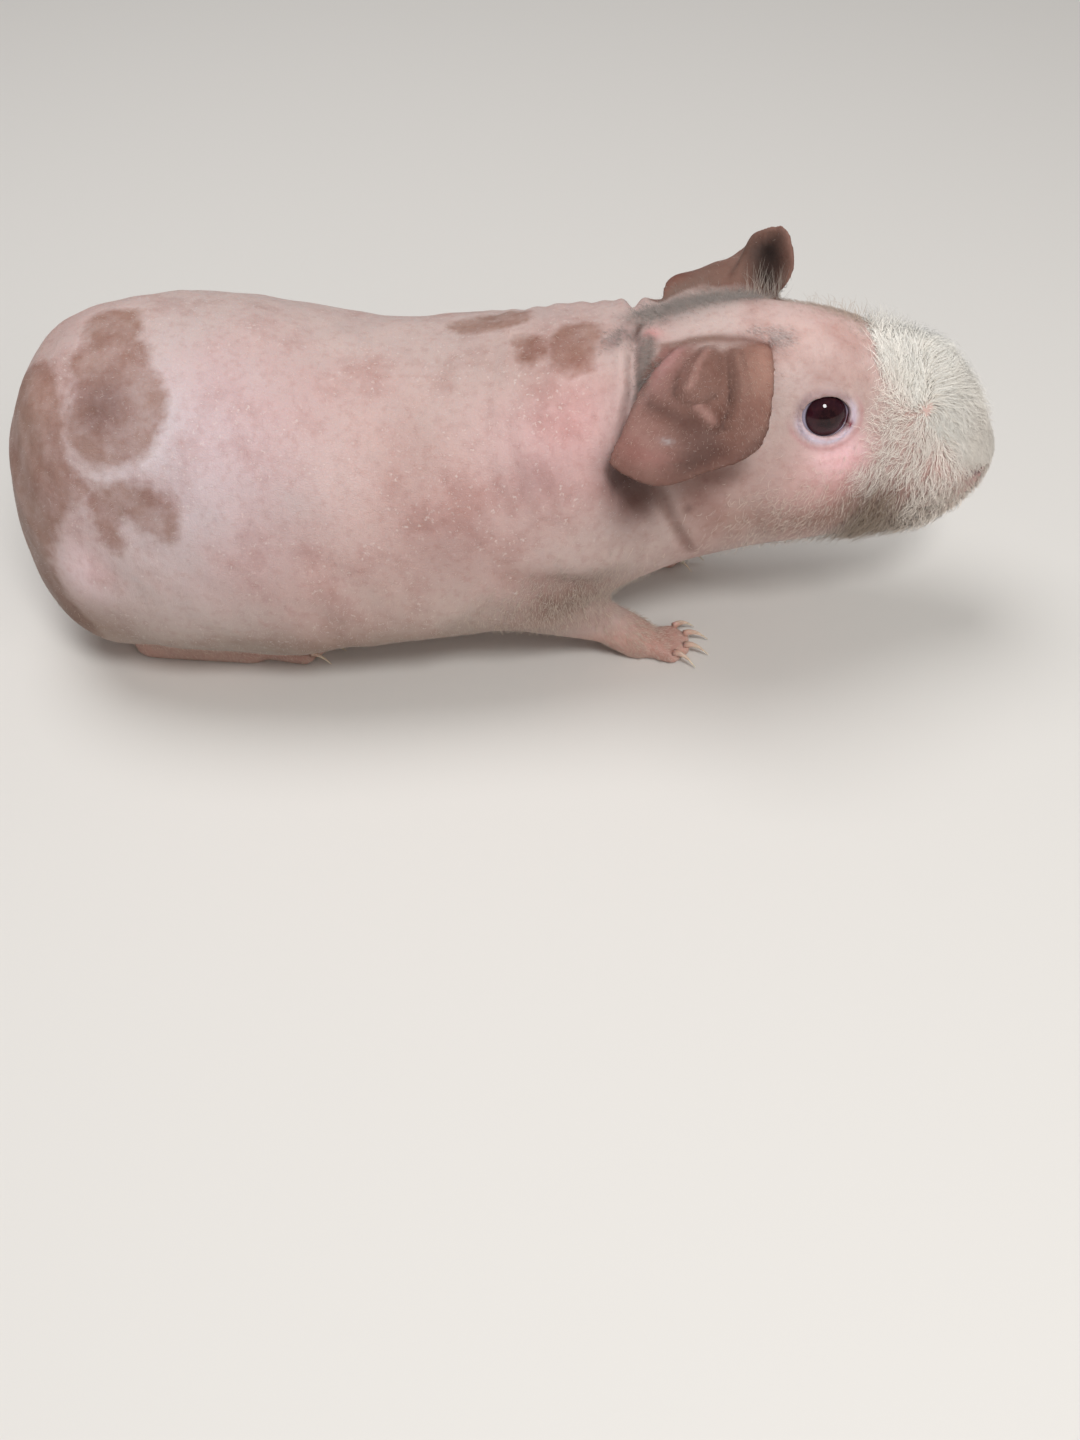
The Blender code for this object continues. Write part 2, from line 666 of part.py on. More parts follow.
def linear(hex_colour):
    """Hex sRGB as the linear colour that shaders use."""
    values = [int(hex_colour[i : i + 2], 16) / 255 for i in (1, 3, 5)]
    return [v / 12.92 if v <= 0.04045 else ((v + 0.055) / 1.055) ** 2.4 for v in values] + [1]


def finish(obj, finish_name):
    """Gives the object its own material of this finish."""
    colour, roughness = FINISHES[finish_name]
    material = bpy.data.materials.new(f"{obj.name}_{finish_name}")
    material.use_nodes = True
    shader = material.node_tree.nodes["Principled BSDF"]
    shader.inputs["Base Color"].default_value = linear(colour)
    shader.inputs["Roughness"].default_value = roughness
    shader.inputs["Metallic"].default_value = 0.0
    obj.data.materials.clear()
    obj.data.materials.append(material)


def main():
    clear_scene()
    flesh = make_flesh()
    grown_flesh = grown(flesh, "grown_flesh", SEAT_GAP)
    ears = [
        make_ear("ear_left", LEFT_EAR, 1, grown_flesh),
        make_ear("ear_right", RIGHT_EAR, -1, grown_flesh),
    ]
    claws = make_claws(grown_flesh)
    bpy.data.objects.remove(grown_flesh)
    limbs = part_limbs(flesh)
    head, muzzle, jaw, *trunk = part_trunk(flesh)
    eyes = [
        ball(mirrored(EYE_CENTRE, side), EYE_RADIUS, gaze_frame(side), name)
        for side, name in ((1, "eye_left"), (-1, "eye_right"))
    ]
    for pieces, finish_name in (
        ([head, jaw], "face_skin"),
        ([muzzle], "nose_fur"),
        (trunk, "pink_skin"),
        (ears, "ear_skin"),
        (eyes, "dark_eye"),
        (claws, "claw_horn"),
        (limbs, "foot_skin"),
    ):
        for piece in pieces:
            finish(piece, finish_name)
    stand_at_origin(list(bpy.data.objects))


main()
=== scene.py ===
"""
Looks of a skinny pig, the nearly hairless guinea pig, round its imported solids: one bare skin, wet eyes,
horn claws, and a coat on the nose, cheeks, ears and feet. Metres, +Z up, nose towards +X, right side to the
camera.
"""

import json
import math

import bmesh
import bpy
import numpy as np
from mathutils import Euler, Matrix, Vector
from mathutils.bvhtree import BVHTree
from mathutils.kdtree import KDTree

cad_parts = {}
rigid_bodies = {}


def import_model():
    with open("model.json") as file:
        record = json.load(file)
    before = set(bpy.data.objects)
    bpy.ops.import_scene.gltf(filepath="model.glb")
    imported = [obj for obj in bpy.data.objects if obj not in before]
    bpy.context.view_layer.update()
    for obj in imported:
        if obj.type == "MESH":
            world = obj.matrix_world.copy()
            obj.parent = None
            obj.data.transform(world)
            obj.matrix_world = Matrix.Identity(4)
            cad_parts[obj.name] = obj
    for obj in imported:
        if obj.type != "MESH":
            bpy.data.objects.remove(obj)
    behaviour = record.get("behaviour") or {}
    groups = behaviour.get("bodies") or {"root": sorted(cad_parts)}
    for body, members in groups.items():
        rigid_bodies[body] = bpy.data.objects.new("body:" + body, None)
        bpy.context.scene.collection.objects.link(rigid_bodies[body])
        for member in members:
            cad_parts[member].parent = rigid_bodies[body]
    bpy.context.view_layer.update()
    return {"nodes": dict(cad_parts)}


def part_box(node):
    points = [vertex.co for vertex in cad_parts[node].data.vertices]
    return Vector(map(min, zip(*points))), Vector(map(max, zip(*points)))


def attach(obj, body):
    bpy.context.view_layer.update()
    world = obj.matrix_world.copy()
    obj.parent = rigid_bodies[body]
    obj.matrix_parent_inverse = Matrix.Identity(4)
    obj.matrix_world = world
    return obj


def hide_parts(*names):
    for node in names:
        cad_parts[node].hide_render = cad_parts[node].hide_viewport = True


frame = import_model()

MM = 0.001
SIDES = {"left": 1, "right": -1}

# The values below are set round the animal's own midpoint, in millimetres. Packing centres the part on its
# box, which ends a little further forward, so all moves by this much at the end: the left eye shows it.
EYE_PLACE = Vector((74.8, 14.8, 67.8))
eye_low, eye_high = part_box("eye_left")
PART_SHIFT = (eye_low + eye_high) / 2 / MM - EYE_PLACE

# Camera: held above the animal's right side, looking down at it, as the photograph was taken.
CAMERA_PLACE = (0.0339, -0.3059, 0.2616)
CAMERA_TURN = (45.11, 2.34, 2.56)
CAMERA_LENS = 38.6
CAMERA_SENSOR = 36

# The skin: how far each solid grows to close the seams, the cell in which all melt together, how often the
# body, the face and then the whole are smoothed, and the share of the trunk's faces that stay.
SEAM_GROWTH = 0.25 * MM
SKIN_CELL = 0.61 * MM
BODY_PASSES = 60
FACE_PASSES = 14
LAST_PASSES = 3
TORSO_SHARE = 0.09

# Where body, head and feet begin, in millimetres.
BODY_AXIS_HEIGHT = 45
HEAD_START = 36
FOOT_TOP = 10

# Ears, as in the solids, in millimetres: points of the root line and of the free edge from rear to front, how
# far the sheet bulges between them, which way it sinks into the head, and the depth and place of its furrow.
EARS = {
    "right": dict(
        root=((43.0, -10.5, 80.3), (52.0, -7.5, 81.5), (63.0, -10.5, 80.3)),
        edge=(
            (39.0, -16.0, 78.5), (33.6, -24.0, 76.5), (30.8, -29.0, 71.5), (28.4, -34.0, 66.8),
            (38.8, -38.5, 64.3), (49.5, -39.0, 68.6), (57.0, -37.5, 70.5), (61.6, -34.0, 73.5),
            (63.4, -26.0, 77.5), (64.0, -18.0, 81.2), (63.3, -13.0, 81.5),
        ),
        bulge=((0, 0, 0.5), (0, -2, 3), (0, -4, 4), (0, -2, 2), (0, 0, 1)),
        sink=(0, 3.5, -4.5),
        furrow=2.4,
        furrow_place=0.54,
    ),
    "left": dict(
        root=((41.0, 9.5, 80.8), (53.0, 11.0, 80.5), (65.0, 9.0, 80.0)),
        edge=(
            (39.5, 11.0, 81.8), (42.5, 19.0, 81.5), (48.5, 27.0, 78.6), (55.0, 31.0, 78.4),
            (59.3, 29.0, 83.2), (62.5, 25.5, 89.5), (67.6, 20.0, 93.2), (69.9, 14.0, 89.0), (68.2, 9.5, 84.5),
        ),
        bulge=((0, 0, 0.5), (0, 0, 3), (0, 0, 2), (0, 4, -1), (0, 1, 0)),
        sink=(0, -3.5, -4.5),
        furrow=1.6,
        furrow_place=0.50,
    ),
}
FURROW_WIDTH = 0.07

# The sheet of an ear: its rows and columns, where it starts below the root line, its thickness, the
# millimetres that a whole share across or along stands for, and from where to where a point of the skin
# counts as ear.
EAR_ROWS = 64
EAR_COLUMNS = 84
EAR_SUNK = -0.25
EAR_ROOT_THICKNESS = 2.4
EAR_EDGE_THICKNESS = 1.0
EAR_SPAN = 30
EAR_NEAR = 1.9
EAR_FAR = 3.2

# Small folds of the ears: points as place across and along, half width in millimetres, and height.
EAR_VALLEY = ((0.55, 0.05), (0.57, 0.23), (0.59, 0.41), (0.57, 0.52), (0.55, 0.62), (0.53, 0.72))
EAR_RIDGE = ((0.44, 0.13), (0.41, 0.23), (0.41, 0.33), (0.40, 0.40))
EAR_REAR_FOLD = ((0.47, 0.07), (0.36, 0.10), (0.32, 0.21), (0.33, 0.33), (0.36, 0.44))
EAR_BUMP = ((0.45, 0.53), (0.48, 0.60), (0.50, 0.66))
EAR_CROSS_FOLD = ((0.38, 0.47), (0.42, 0.49), (0.46, 0.50), (0.50, 0.44))
EAR_LOW_FOLD = ((0.27, 0.57), (0.35, 0.56), (0.42, 0.60), (0.46, 0.71), (0.50, 0.88))
EAR_FRONT_RIDGE = ((0.64, 0.18), (0.63, 0.47), (0.59, 0.68))
EAR_FOLDS = {
    "right": (
        (EAR_VALLEY, 0.9, -1.3),
        (EAR_RIDGE, 0.75, 1.0),
        (EAR_REAR_FOLD, 0.7, -1.0),
        (EAR_BUMP, 0.75, 1.1),
        (EAR_CROSS_FOLD, 0.7, -0.8),
        (EAR_LOW_FOLD, 1.5, -0.9),
        (((0.31, 0.71), (0.37, 0.84)), 4.0, 0.9),
        (((0.50, 0.80), (0.48, 0.97)), 1.6, -0.7),
        (EAR_FRONT_RIDGE, 1.0, 0.6),
        (((0.70, 0.15), (0.68, 0.60)), 0.7, -0.35),
        (((0.78, 0.15), (0.74, 0.50), (0.66, 0.80)), 0.9, 0.4),
        (((0.24, 0.08), (0.18, 0.45)), 1.5, -0.5),
        (((0.14, 0.15), (0.14, 0.70)), 1.4, 0.4),
    ),
    "left": (
        (((0.20, 0.10), (0.22, 0.80)), 1.5, -0.4),
        (((0.34, 0.10), (0.36, 0.85)), 1.3, 0.5),
        (((0.62, 0.10), (0.62, 0.90)), 1.6, 0.6),
        (((0.70, 0.30), (0.74, 0.90)), 1.4, -0.6),
        (((0.84, 0.40), (0.85, 0.95)), 1.3, 0.4),
    ),
}

# Eyes: the gaze, the radius of the ball, the half axes of the opening between the lids, its slant in
# degrees, how far the rims of the lids draw in, the half axes of their tinted margin, how far the iris sits
# back, and how far the clear front bulges.
GAZE = (0.20, 1.0, 0.30)
EYE_RADIUS = 6.35
LID_OPENING = (6.0, 4.9)
LID_SLANT = 8
LID_CLOSING = 0.42
LID_MARGIN = (6.0, 5.2)
IRIS_SHIFT = 0.03
FRONT_BULGE = 0.035

# Claws: sides, radius at root and tip, how far the root is sunk, how flat they are, and their lowest height.
CLAW_SIDES = 14
CLAW_ROOT_RADIUS = 1.05
CLAW_TIP_RADIUS = 0.10
CLAW_SUNK = 1.0
CLAW_FLATNESS = 0.78
CLAW_FLOOR = 0.35

# The coat: how deep a hair's root sits in the skin, its sides, how wide its tip is, the size of its patch
# in the OFBake map, how far its shading leans to the skin's, the waves of a curl, and the middle and
# direction of the muzzle's unwrap.
COAT_ROOT_DEPTH = 0.3
STRAND_SIDES = 3
TIP_WIDTH = 0.25
TUFT_PATCH = 0.003
SOFTNESS = 0.75
CURL_WAVES = 0.9
MUZZLE_MIDDLE = (95, 0, 55)
FORWARD = (1, 0, 0)

# Pieces of the nose's coat: hairs on each side, and the left side's random seed, one below the right side's.
NOSE_PIECES = {
    "nose_coat": (8800, 11),
    "nose_down": (8600, 15),
    "cheek_curls": (3200, 21),
    "muzzle_underfur": (2200, 31),
    "crest_wisps": (950, 41),
}

# The other hair: its first seed, the hairs of the far ear and the line that they grow on.
FUZZ_SEED = 100
FAR_EAR_SEED = 77
FAR_EAR_HAIRS = 85
FAR_EAR_HAIR_LINE = ((59.5, 10.6, 82), (63.3, 10.6, 81.9), (66.0, 9.9, 82), (67.8, 9.6, 83))


def vertex_rows(mesh, name):
    flat = np.empty(len(mesh.vertices) * 3)
    mesh.vertices.foreach_get(name, flat)
    return flat.reshape(-1, 3)


def mesh_points(mesh):
    """The mesh's vertices, in millimetres, one row each."""
    return vertex_rows(mesh, "co") / MM


def mesh_normals(mesh):
    return vertex_rows(mesh, "normal")


def move_points(mesh, points):
    mesh.vertices.foreach_set("co", (points * MM).ravel())
    mesh.update()


def smooth_step(values, start, end):
    """0 before start, 1 past end, with a soft turn between."""
    share = np.clip((values - start) / (end - start), 0, 1)
    return share * share * (3 - 2 * share)


def bell(away, width):
    """1 where away is 0, fading to 0 a few widths off."""
    return np.exp(-((away / width) ** 2))


def bump_at(points, centre, radii):
    """1 at the centre, fading to 0 a few radii away."""
    away = (points - np.array(centre)) / np.array(radii)
    return np.exp(-(away**2).sum(axis=1))


def unit(vectors):
    return vectors / np.maximum(np.linalg.norm(vectors, axis=-1, keepdims=True), 1e-9)


def point_tree(points, indices):
    """A tree that finds the nearest of the points and gives its index."""
    tree = KDTree(len(points))
    for point, index in zip(points, indices):
        tree.insert(point, int(index))
    tree.balance()
    return tree


def select_only(obj):
    bpy.ops.object.select_all(action="DESELECT")
    obj.select_set(True)
    bpy.context.view_layer.objects.active = obj


def apply_modifier(obj, kind, **settings):
    select_only(obj)
    modifier = obj.modifiers.new(kind, kind)
    for name, value in settings.items():
        setattr(modifier, name, value)
    bpy.ops.object.modifier_apply(modifier=modifier.name)


def object_of(name, shape):
    """An object from a bmesh, which is used up."""
    mesh = bpy.data.meshes.new(name)
    shape.to_mesh(mesh)
    shape.free()
    obj = bpy.data.objects.new(name, mesh)
    bpy.context.scene.collection.objects.link(obj)
    return obj


# Ears


def curve_points(points, shares):
    """Places on the smooth curve through the points, one for each share of the way along it."""
    points = np.array(points, float)
    padded = np.concatenate([[2 * points[0] - points[1]], points, [2 * points[-1] - points[-2]]])
    place = np.clip(shares, 0, 1) * (len(points) - 1)
    index = np.minimum(place.astype(int), len(points) - 2)
    t = (place - index)[:, None]
    before, start, end, after = (padded[index + step] for step in range(4))
    curve = 2 * start + (end - before) * t + (2 * before - 5 * start + 4 * end - after) * t**2
    return (curve + (3 * start - before - 3 * end + after) * t**3) / 2


def distance_to_line(points, line):
    """Distance of each point to a broken line, and the share of the way along it."""
    line = np.array(line, float)
    best = np.full(len(points), 1e9)
    share = np.zeros(len(points))
    for index, (start, end) in enumerate(zip(line, line[1:])):
        run = end - start
        along = np.clip((points - start) @ run / (run @ run), 0, 1)
        away = np.linalg.norm(points - start - along[:, None] * run, axis=1)
        closer = away < best
        best[closer] = away[closer]
        share[closer] = (index + along[closer]) / (len(line) - 1)
    return best, share


def ear_middle(ear, along, across):
    """Middle of the ear's sheet; along runs from root (0) to edge (1), across from rear (0) to front (1)."""
    root = curve_points(ear["root"], across)
    bulge = curve_points(ear["bulge"], across) * np.sin(np.pi * np.clip(along, 0, 1) ** 0.8)[:, None]
    sheet = root + (curve_points(ear["edge"], across) - root) * np.maximum(along, 0)[:, None] + bulge
    return sheet + np.array(ear["sink"]) * (np.minimum(along, 0) / EAR_SUNK)[:, None]


def ear_surface(name, along, across):
    """Places on an ear's sheet with its furrow and folds, and the sheet's outward normals there."""
    ear = EARS[name]
    step = 0.01
    forward = ear_middle(ear, along, across + step) - ear_middle(ear, along, across - step)
    outward = ear_middle(ear, along + step, across) - ear_middle(ear, along - step, across)
    normals = np.cross(forward, outward) * SIDES[name]
    normals /= np.linalg.norm(normals, axis=1)[:, None]
    past_root = np.clip(along, 0, 1)
    height = -ear["furrow"] * bell(across - ear["furrow_place"], FURROW_WIDTH)
    height *= np.sin(np.pi * past_root)
    place = np.stack([across, along], axis=1) * EAR_SPAN
    for line, width, rise in EAR_FOLDS[name]:
        distance, _ = distance_to_line(place, np.array(line) * EAR_SPAN)
        height += rise * bell(distance, width) * smooth_step(past_root, 0, 0.1)
    height += 0.15 * past_root**3 * np.sin(17 * across + 1.0) + 0.06 * past_root**2 * np.sin(41 * across)
    return ear_middle(ear, along, across) + normals * height[:, None], normals


def ear_grid(rows_from):
    """Places along and across for every row and column of an ear's sheet, from this row on."""
    along = EAR_SUNK + (1 - EAR_SUNK) * np.arange(rows_from, EAR_ROWS + 1) / EAR_ROWS
    across = np.arange(EAR_COLUMNS + 1) / EAR_COLUMNS
    return [grid.ravel() for grid in np.meshgrid(along, across, indexing="ij")]


def make_ear_sheet(name):
    """One ear as a closed, curved sheet, thinner towards its edge, that is sunk into the head."""
    along, across = ear_grid(0)
    centres, normals = ear_surface(name, along, across)
    thickness = EAR_ROOT_THICKNESS + (EAR_EDGE_THICKNESS - EAR_ROOT_THICKNESS) * np.clip(along, 0, 1) ** 0.7
    thickness *= np.minimum(1, 0.4 + 6 * np.minimum(across, 1 - across))
    shape = bmesh.new()
    grids = []
    for face in (1, -1):
        places = (centres + normals * (face * thickness / 2)[:, None]) * MM
        corners = [shape.verts.new(place) for place in places]
        width = EAR_COLUMNS + 1
        grids.append([corners[row * width : (row + 1) * width] for row in range(EAR_ROWS + 1)])
    for grid in grids:
        for near, far in zip(grid, grid[1:]):
            for i in range(EAR_COLUMNS):
                shape.faces.new((near[i], near[i + 1], far[i + 1], far[i]))
    rims = []
    for grid in grids:
        front, rear = [line[-1] for line in grid[1:-1]], [line[0] for line in grid[-2:0:-1]]
        rims.append([*grid[0], *front, *reversed(grid[-1]), *rear])
    upper, lower = rims
    for i in range(len(upper)):
        shape.faces.new((upper[i - 1], upper[i], lower[i], lower[i - 1]))
    bmesh.ops.recalc_face_normals(shape, faces=shape.faces)
    return object_of(f"ear_sheet_{name}", shape)


def ear_coordinates(points):
    """For each point: share of ear, 0 on the head and 1 on the ear,
    and its place along and across the ear."""
    cover, along, across = (np.zeros(len(points)) for _ in range(3))
    first_row = math.ceil(-EAR_SUNK / (1 - EAR_SUNK) * EAR_ROWS)
    for name in SIDES:
        places = np.stack(ear_grid(first_row), axis=1)
        centres, _ = ear_surface(name, *places.T)
        tree = point_tree(centres, range(len(centres)))
        low, high = centres.min(axis=0) - 3, centres.max(axis=0) + 3
        near = np.where(((points > low) & (points < high)).all(axis=1))[0]
        for index in near:
            _, found, distance = tree.find(points[index])
            if distance < EAR_FAR:
                cover[index] = 1 - smooth_step(distance, EAR_NEAR, EAR_FAR)
                along[index], across[index] = places[found]
    return cover * smooth_step(along, 0.02, 0.16), along, across


# Where the coat grows


# The nose's coat. From a bare whorl at each side of the nose the hairs radiate: dense, pale and standing
# above the line that runs over the whorl to the nostril, sparse, long and curly below it.
WHORL = (98.4, 10.4, 64.4)
DENSE_LINE = ((84, 76), (90, 73), (98.4, 63.5), (104, 57), (110, 51), (114, 48.5), (120, 47))
NOSTRILS = (113.6, 7.6, 46.2)
CREST_LINE = ((88, 62), (103, 62), (118, 45))


def wander(points, size):
    """A smooth, irregular value from -1 to 1 whose waves are a few sizes long."""
    x, y, z = (points / size).T
    first = np.sin(1.1 * x + 0.7 * z + 1.3 * np.sin(0.9 * z - 0.5 * y))
    return (first + np.sin(0.8 * z - 0.9 * y + 1.7 * np.sin(0.7 * x + 0.4 * y))) / 2


def dense_coat(points):
    """How far each point lies within the dense coat on top and in front of the nose, 0 to 1."""
    line_height = np.interp(points[:, 0], *np.array(DENSE_LINE, float).T)
    cover = smooth_step(points[:, 2] - line_height, -2.5, 2.5)
    rear = 87.5 + 1.2 * wander(points, 2.5)
    return cover * smooth_step(points[:, 0] - rear, -2.5, 4.0)


def coat_depth(points):
    """How deep the coat of the nose is, in millimetres: deepest over the front of the bridge."""
    x, _, z = points.T
    crest = smooth_step(z - np.interp(x, *np.array(CREST_LINE, float).T), 0, 11)
    crest *= smooth_step(x, 87, 99) * (1 - 0.62 * smooth_step(x, 104.5, 116))
    return dense_coat(points) * (0.9 + 2.8 * crest) + 0.5 * smooth_step(x, 84, 92) * (1 - dense_coat(points))


def near_pair(points, place, radius):
    """1 at the place or its mirror image on the other side, fading to 0 a few radii away."""
    return bump_at(points * (1, 0, 1) + np.abs(points) * (0, 1, 0), place, radius)


# Skin


def flesh_nodes():
    trunk = ["rump", "abdomen", "chest", "neck", "head", "lower_jaw", "muzzle"]
    limbs = [f"{part}_{side}" for part in ("foreleg", "hindleg", "forefoot", "hindfoot") for side in SIDES]
    return trunk + limbs


def grown_copies(names):
    """One mesh object with a copy of each node, grown a little so that the seams between them close."""
    whole = bmesh.new()
    for name in names:
        part = bmesh.new()
        part.from_mesh(frame["nodes"][name].data)
        bmesh.ops.remove_doubles(part, verts=part.verts, dist=0.001 * MM)
        part.normal_update()
        for vertex in part.verts:
            vertex.co += vertex.normal * SEAM_GROWTH - PART_SHIFT * MM
        grown = bpy.data.meshes.new("grown")
        part.to_mesh(grown)
        part.free()
        whole.from_mesh(grown)
        bpy.data.meshes.remove(grown)
    return object_of("skin", whole)


def keep_largest(obj):
    """Keeps only the largest connected body of the mesh."""
    shape = bmesh.new()
    shape.from_mesh(obj.data)
    waiting = set(shape.verts)
    bodies = []
    while waiting:
        body = []
        reached = [waiting.pop()]
        while reached:
            vertex = reached.pop()
            body.append(vertex)
            for edge in vertex.link_edges:
                other = edge.other_vert(vertex)
                if other in waiting:
                    waiting.remove(other)
                    reached.append(other)
        bodies.append(body)
    bodies.sort(key=len)
    scraps = [vertex for body in bodies[:-1] for vertex in body]
    bmesh.ops.delete(shape, geom=scraps, context="VERTS")
    shape.to_mesh(obj.data)
    shape.free()


def relaxed(points, edges, strength, passes):
    """The points drawn towards the middle of their neighbours, each as far as its strength says."""
    ends, others = np.concatenate([edges, edges[:, ::-1]]).T
    count = len(points)
    degree = np.bincount(ends, minlength=count)[:, None]
    for _ in range(passes):
        total = np.stack([np.bincount(ends, points[others, axis], count) for axis in range(3)], axis=1)
        points = points + strength[:, None] * 0.5 * (total / degree - points)
    return points


def mesh_edges(mesh):
    flat = np.empty(len(mesh.edges) * 2, np.int64)
    mesh.edges.foreach_get("vertices", flat)
    return flat.reshape(-1, 2)


def eye_frame(side):
    """Turn that takes X along the eye's opening, Y up across it and Z along the gaze."""
    gaze = Vector((GAZE[0], GAZE[1] * side, GAZE[2])).normalized()
    ahead = (Vector((1, 0, 0)) - gaze * gaze.x).normalized()
    ahead = Matrix.Rotation(math.radians(LID_SLANT) * side, 3, gaze) @ ahead
    up = gaze.cross(ahead) * -side
    return ahead, up, gaze


def eye_centre(name):
    low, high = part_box(f"eye_{name}")
    return (low + high) / 2 / MM - PART_SHIFT


def at_eye(points, name):
    """Each point in the frame of one eye: along the opening, up across it, and out along the gaze."""
    away = points - np.array(eye_centre(name))
    return (away @ np.array(axis) for axis in eye_frame(SIDES[name]))


def lids_closed(points, name):
    """Draws the rims of an eye's lids in over the ball, so that they touch its iris above and in front."""
    along, up, out = at_eye(points, name)
    ahead_axis, up_axis, out_axis = (np.array(axis) for axis in eye_frame(SIDES[name]))
    around = np.hypot(along, up)
    ring = np.hypot(along / LID_OPENING[0], up / LID_OPENING[1])
    near = bell(ring - 1.0, 0.22) * (out > 0.5) * (around < 9)
    tight = LID_CLOSING * near * (1 - 0.45 * smooth_step(-up, 0, 4) + 0.35 * smooth_step(along, 0, 4))
    narrower = np.maximum(around - tight, 0.5)
    share = narrower / np.maximum(around, 0.5)
    height, plain_height = (
        np.sqrt(np.maximum(EYE_RADIUS**2 - radius**2, 0)) for radius in (narrower, around)
    )
    lift = np.clip(height - plain_height, 0, 1) * (around < EYE_RADIUS)
    moved = along[:, None] * (share - 1)[:, None] * ahead_axis + up[:, None] * (share - 1)[:, None] * up_axis
    return points + moved + lift[:, None] * out_axis


def make_skin():
    skin = grown_copies(flesh_nodes())
    sheets = [make_ear_sheet(name) for name in SIDES]
    bpy.ops.object.select_all(action="DESELECT")
    for piece in (skin, *sheets):
        piece.select_set(True)
    bpy.context.view_layer.objects.active = skin
    bpy.ops.object.join()
    apply_modifier(skin, "REMESH", mode="VOXEL", voxel_size=SKIN_CELL)
    keep_largest(skin)
    points = mesh_points(skin.data)
    edges = mesh_edges(skin.data)
    ear_cover = ear_coordinates(points)[0]
    x, _, z = points.T
    plain = 1 - smooth_step(x, 48, 66)
    plain *= smooth_step(z, FOOT_TOP - 3, FOOT_TOP + 8) * (1 - ear_cover)
    points = relaxed(points, edges, plain, BODY_PASSES)
    move_points(skin.data, points)
    points -= mesh_normals(skin.data) * coat_depth(points)[:, None]
    face = np.ones(len(points))
    for name in SIDES:
        along, up, out = at_eye(points, name)
        face -= 0.75 * np.exp(-((along / 9) ** 2 + (up / 8) ** 2 + (out / 9) ** 2) ** 2)
    face -= 0.7 * bump_at(np.abs(points), (114, 5.5, 45), (4, 4.5, 5))
    face = np.clip(face, 0.1, 1) * (1 - 0.6 * ear_cover)
    face *= 0.35 + 0.65 * smooth_step(z, 3, FOOT_TOP + 4)
    points = relaxed(points, edges, face, FACE_PASSES)
    points = relaxed(points, edges, np.full(len(points), 0.5), LAST_PASSES)
    points[:, 2] = np.maximum(points[:, 2], 0.0)
    for name in SIDES:
        points = lids_closed(points, name)
    move_points(skin.data, points)
    points = sculpted(points, mesh_normals(skin.data))
    move_points(skin.data, points)
    thin_torso(skin)
    skin.data.shade_smooth()
    return skin


def thin_torso(skin):
    """Fewer, larger faces where the body is plain, so that the skin stays under its limit."""
    points = mesh_points(skin.data)
    select_only(skin)
    bpy.ops.object.mode_set(mode="EDIT")
    bpy.ops.mesh.select_all(action="DESELECT")
    bpy.ops.object.mode_set(mode="OBJECT")
    torso = (points[:, 0] < HEAD_START) & (points[:, 2] > FOOT_TOP)
    skin.data.vertices.foreach_set("select", torso)
    skin.data.update()
    bpy.ops.object.mode_set(mode="EDIT")
    bpy.ops.mesh.select_mode(type="VERT")
    bpy.ops.mesh.decimate(ratio=TORSO_SHARE)
    bpy.ops.mesh.select_all(action="SELECT")
    bpy.ops.mesh.quads_convert_to_tris()
    bpy.ops.object.mode_set(mode="OBJECT")


# Deep creases behind the ear and down the throat, as the right side has them, in millimetres.
NECK_LINE = (
    (35, -3, 81.8), (34.1, -6, 81.3), (33.8, -8.8, 80.9), (33.5, -12.4, 79.4), (33.6, -15.5, 77.6),
    (33.6, -18.2, 75.5), (32.4, -23, 71), (30.5, -27, 65),
)
THROAT_LINE = (
    (37.5, -28, 59), (39.1, -27.7, 56.1), (40.7, -27.7, 51.7), (42.6, -26.4, 46.5), (44.6, -26.2, 41.8),
    (47, -24, 36),
)

# Folds of the skin on the right side, mirrored to the left: points of the line, half width and depth.
FOLDS = {
    "neck": (NECK_LINE, 1.3, 1.7),
    "under_ear": (((30, -28.5, 63), (30.5, -29.5, 58), (32.5, -29.7, 53), (36, -29, 48.5)), 1.6, 1.2),
    "throat": (THROAT_LINE, 1.4, 1.0),
    "jaw": (((60, -27, 52), (60, -26.5, 45), (63, -23, 37)), 2.2, 0.5),
    "foreleg": (((2, -38.5, 41), (10, -37.5, 37), (18, -35, 35), (26, -29.5, 33), (31, -26, 35)), 3.0, 1.1),
    "elbow": (((-10, -37, 22), (-4, -36, 27), (1, -36.5, 33)), 3.2, 0.9),
    "thigh": (((-42, -42, 40), (-36, -41.5, 30), (-34, -38, 20)), 3.0, 0.9),
    "groin": (((-48, -38, 12), (-60, -39, 13), (-72, -38, 14)), 2.0, 1.0),
    "lower_lid": (((70, -21, 62.5), (75, -21.5, 60.5), (81, -19.5, 61.5)), 0.8, 0.35),
}
MOUTH_LINE = ((96.0, 35.8), (101.0, 38.6), (106.0, 38.0), (112.0, 39.3), (119.0, 40.2))
MOUTH_WIDTH = 0.62
MOUTH_DEPTH = 1.15


def crease(distance, share, width, depth):
    """A furrow with raised banks, that runs out at both ends."""
    ends = np.sin(np.pi * np.clip(share, 0.02, 0.98)) ** 0.5
    banks = bell(distance - 2.1 * width, 1.1 * width)
    return depth * ends * (0.35 * banks - bell(distance, width))


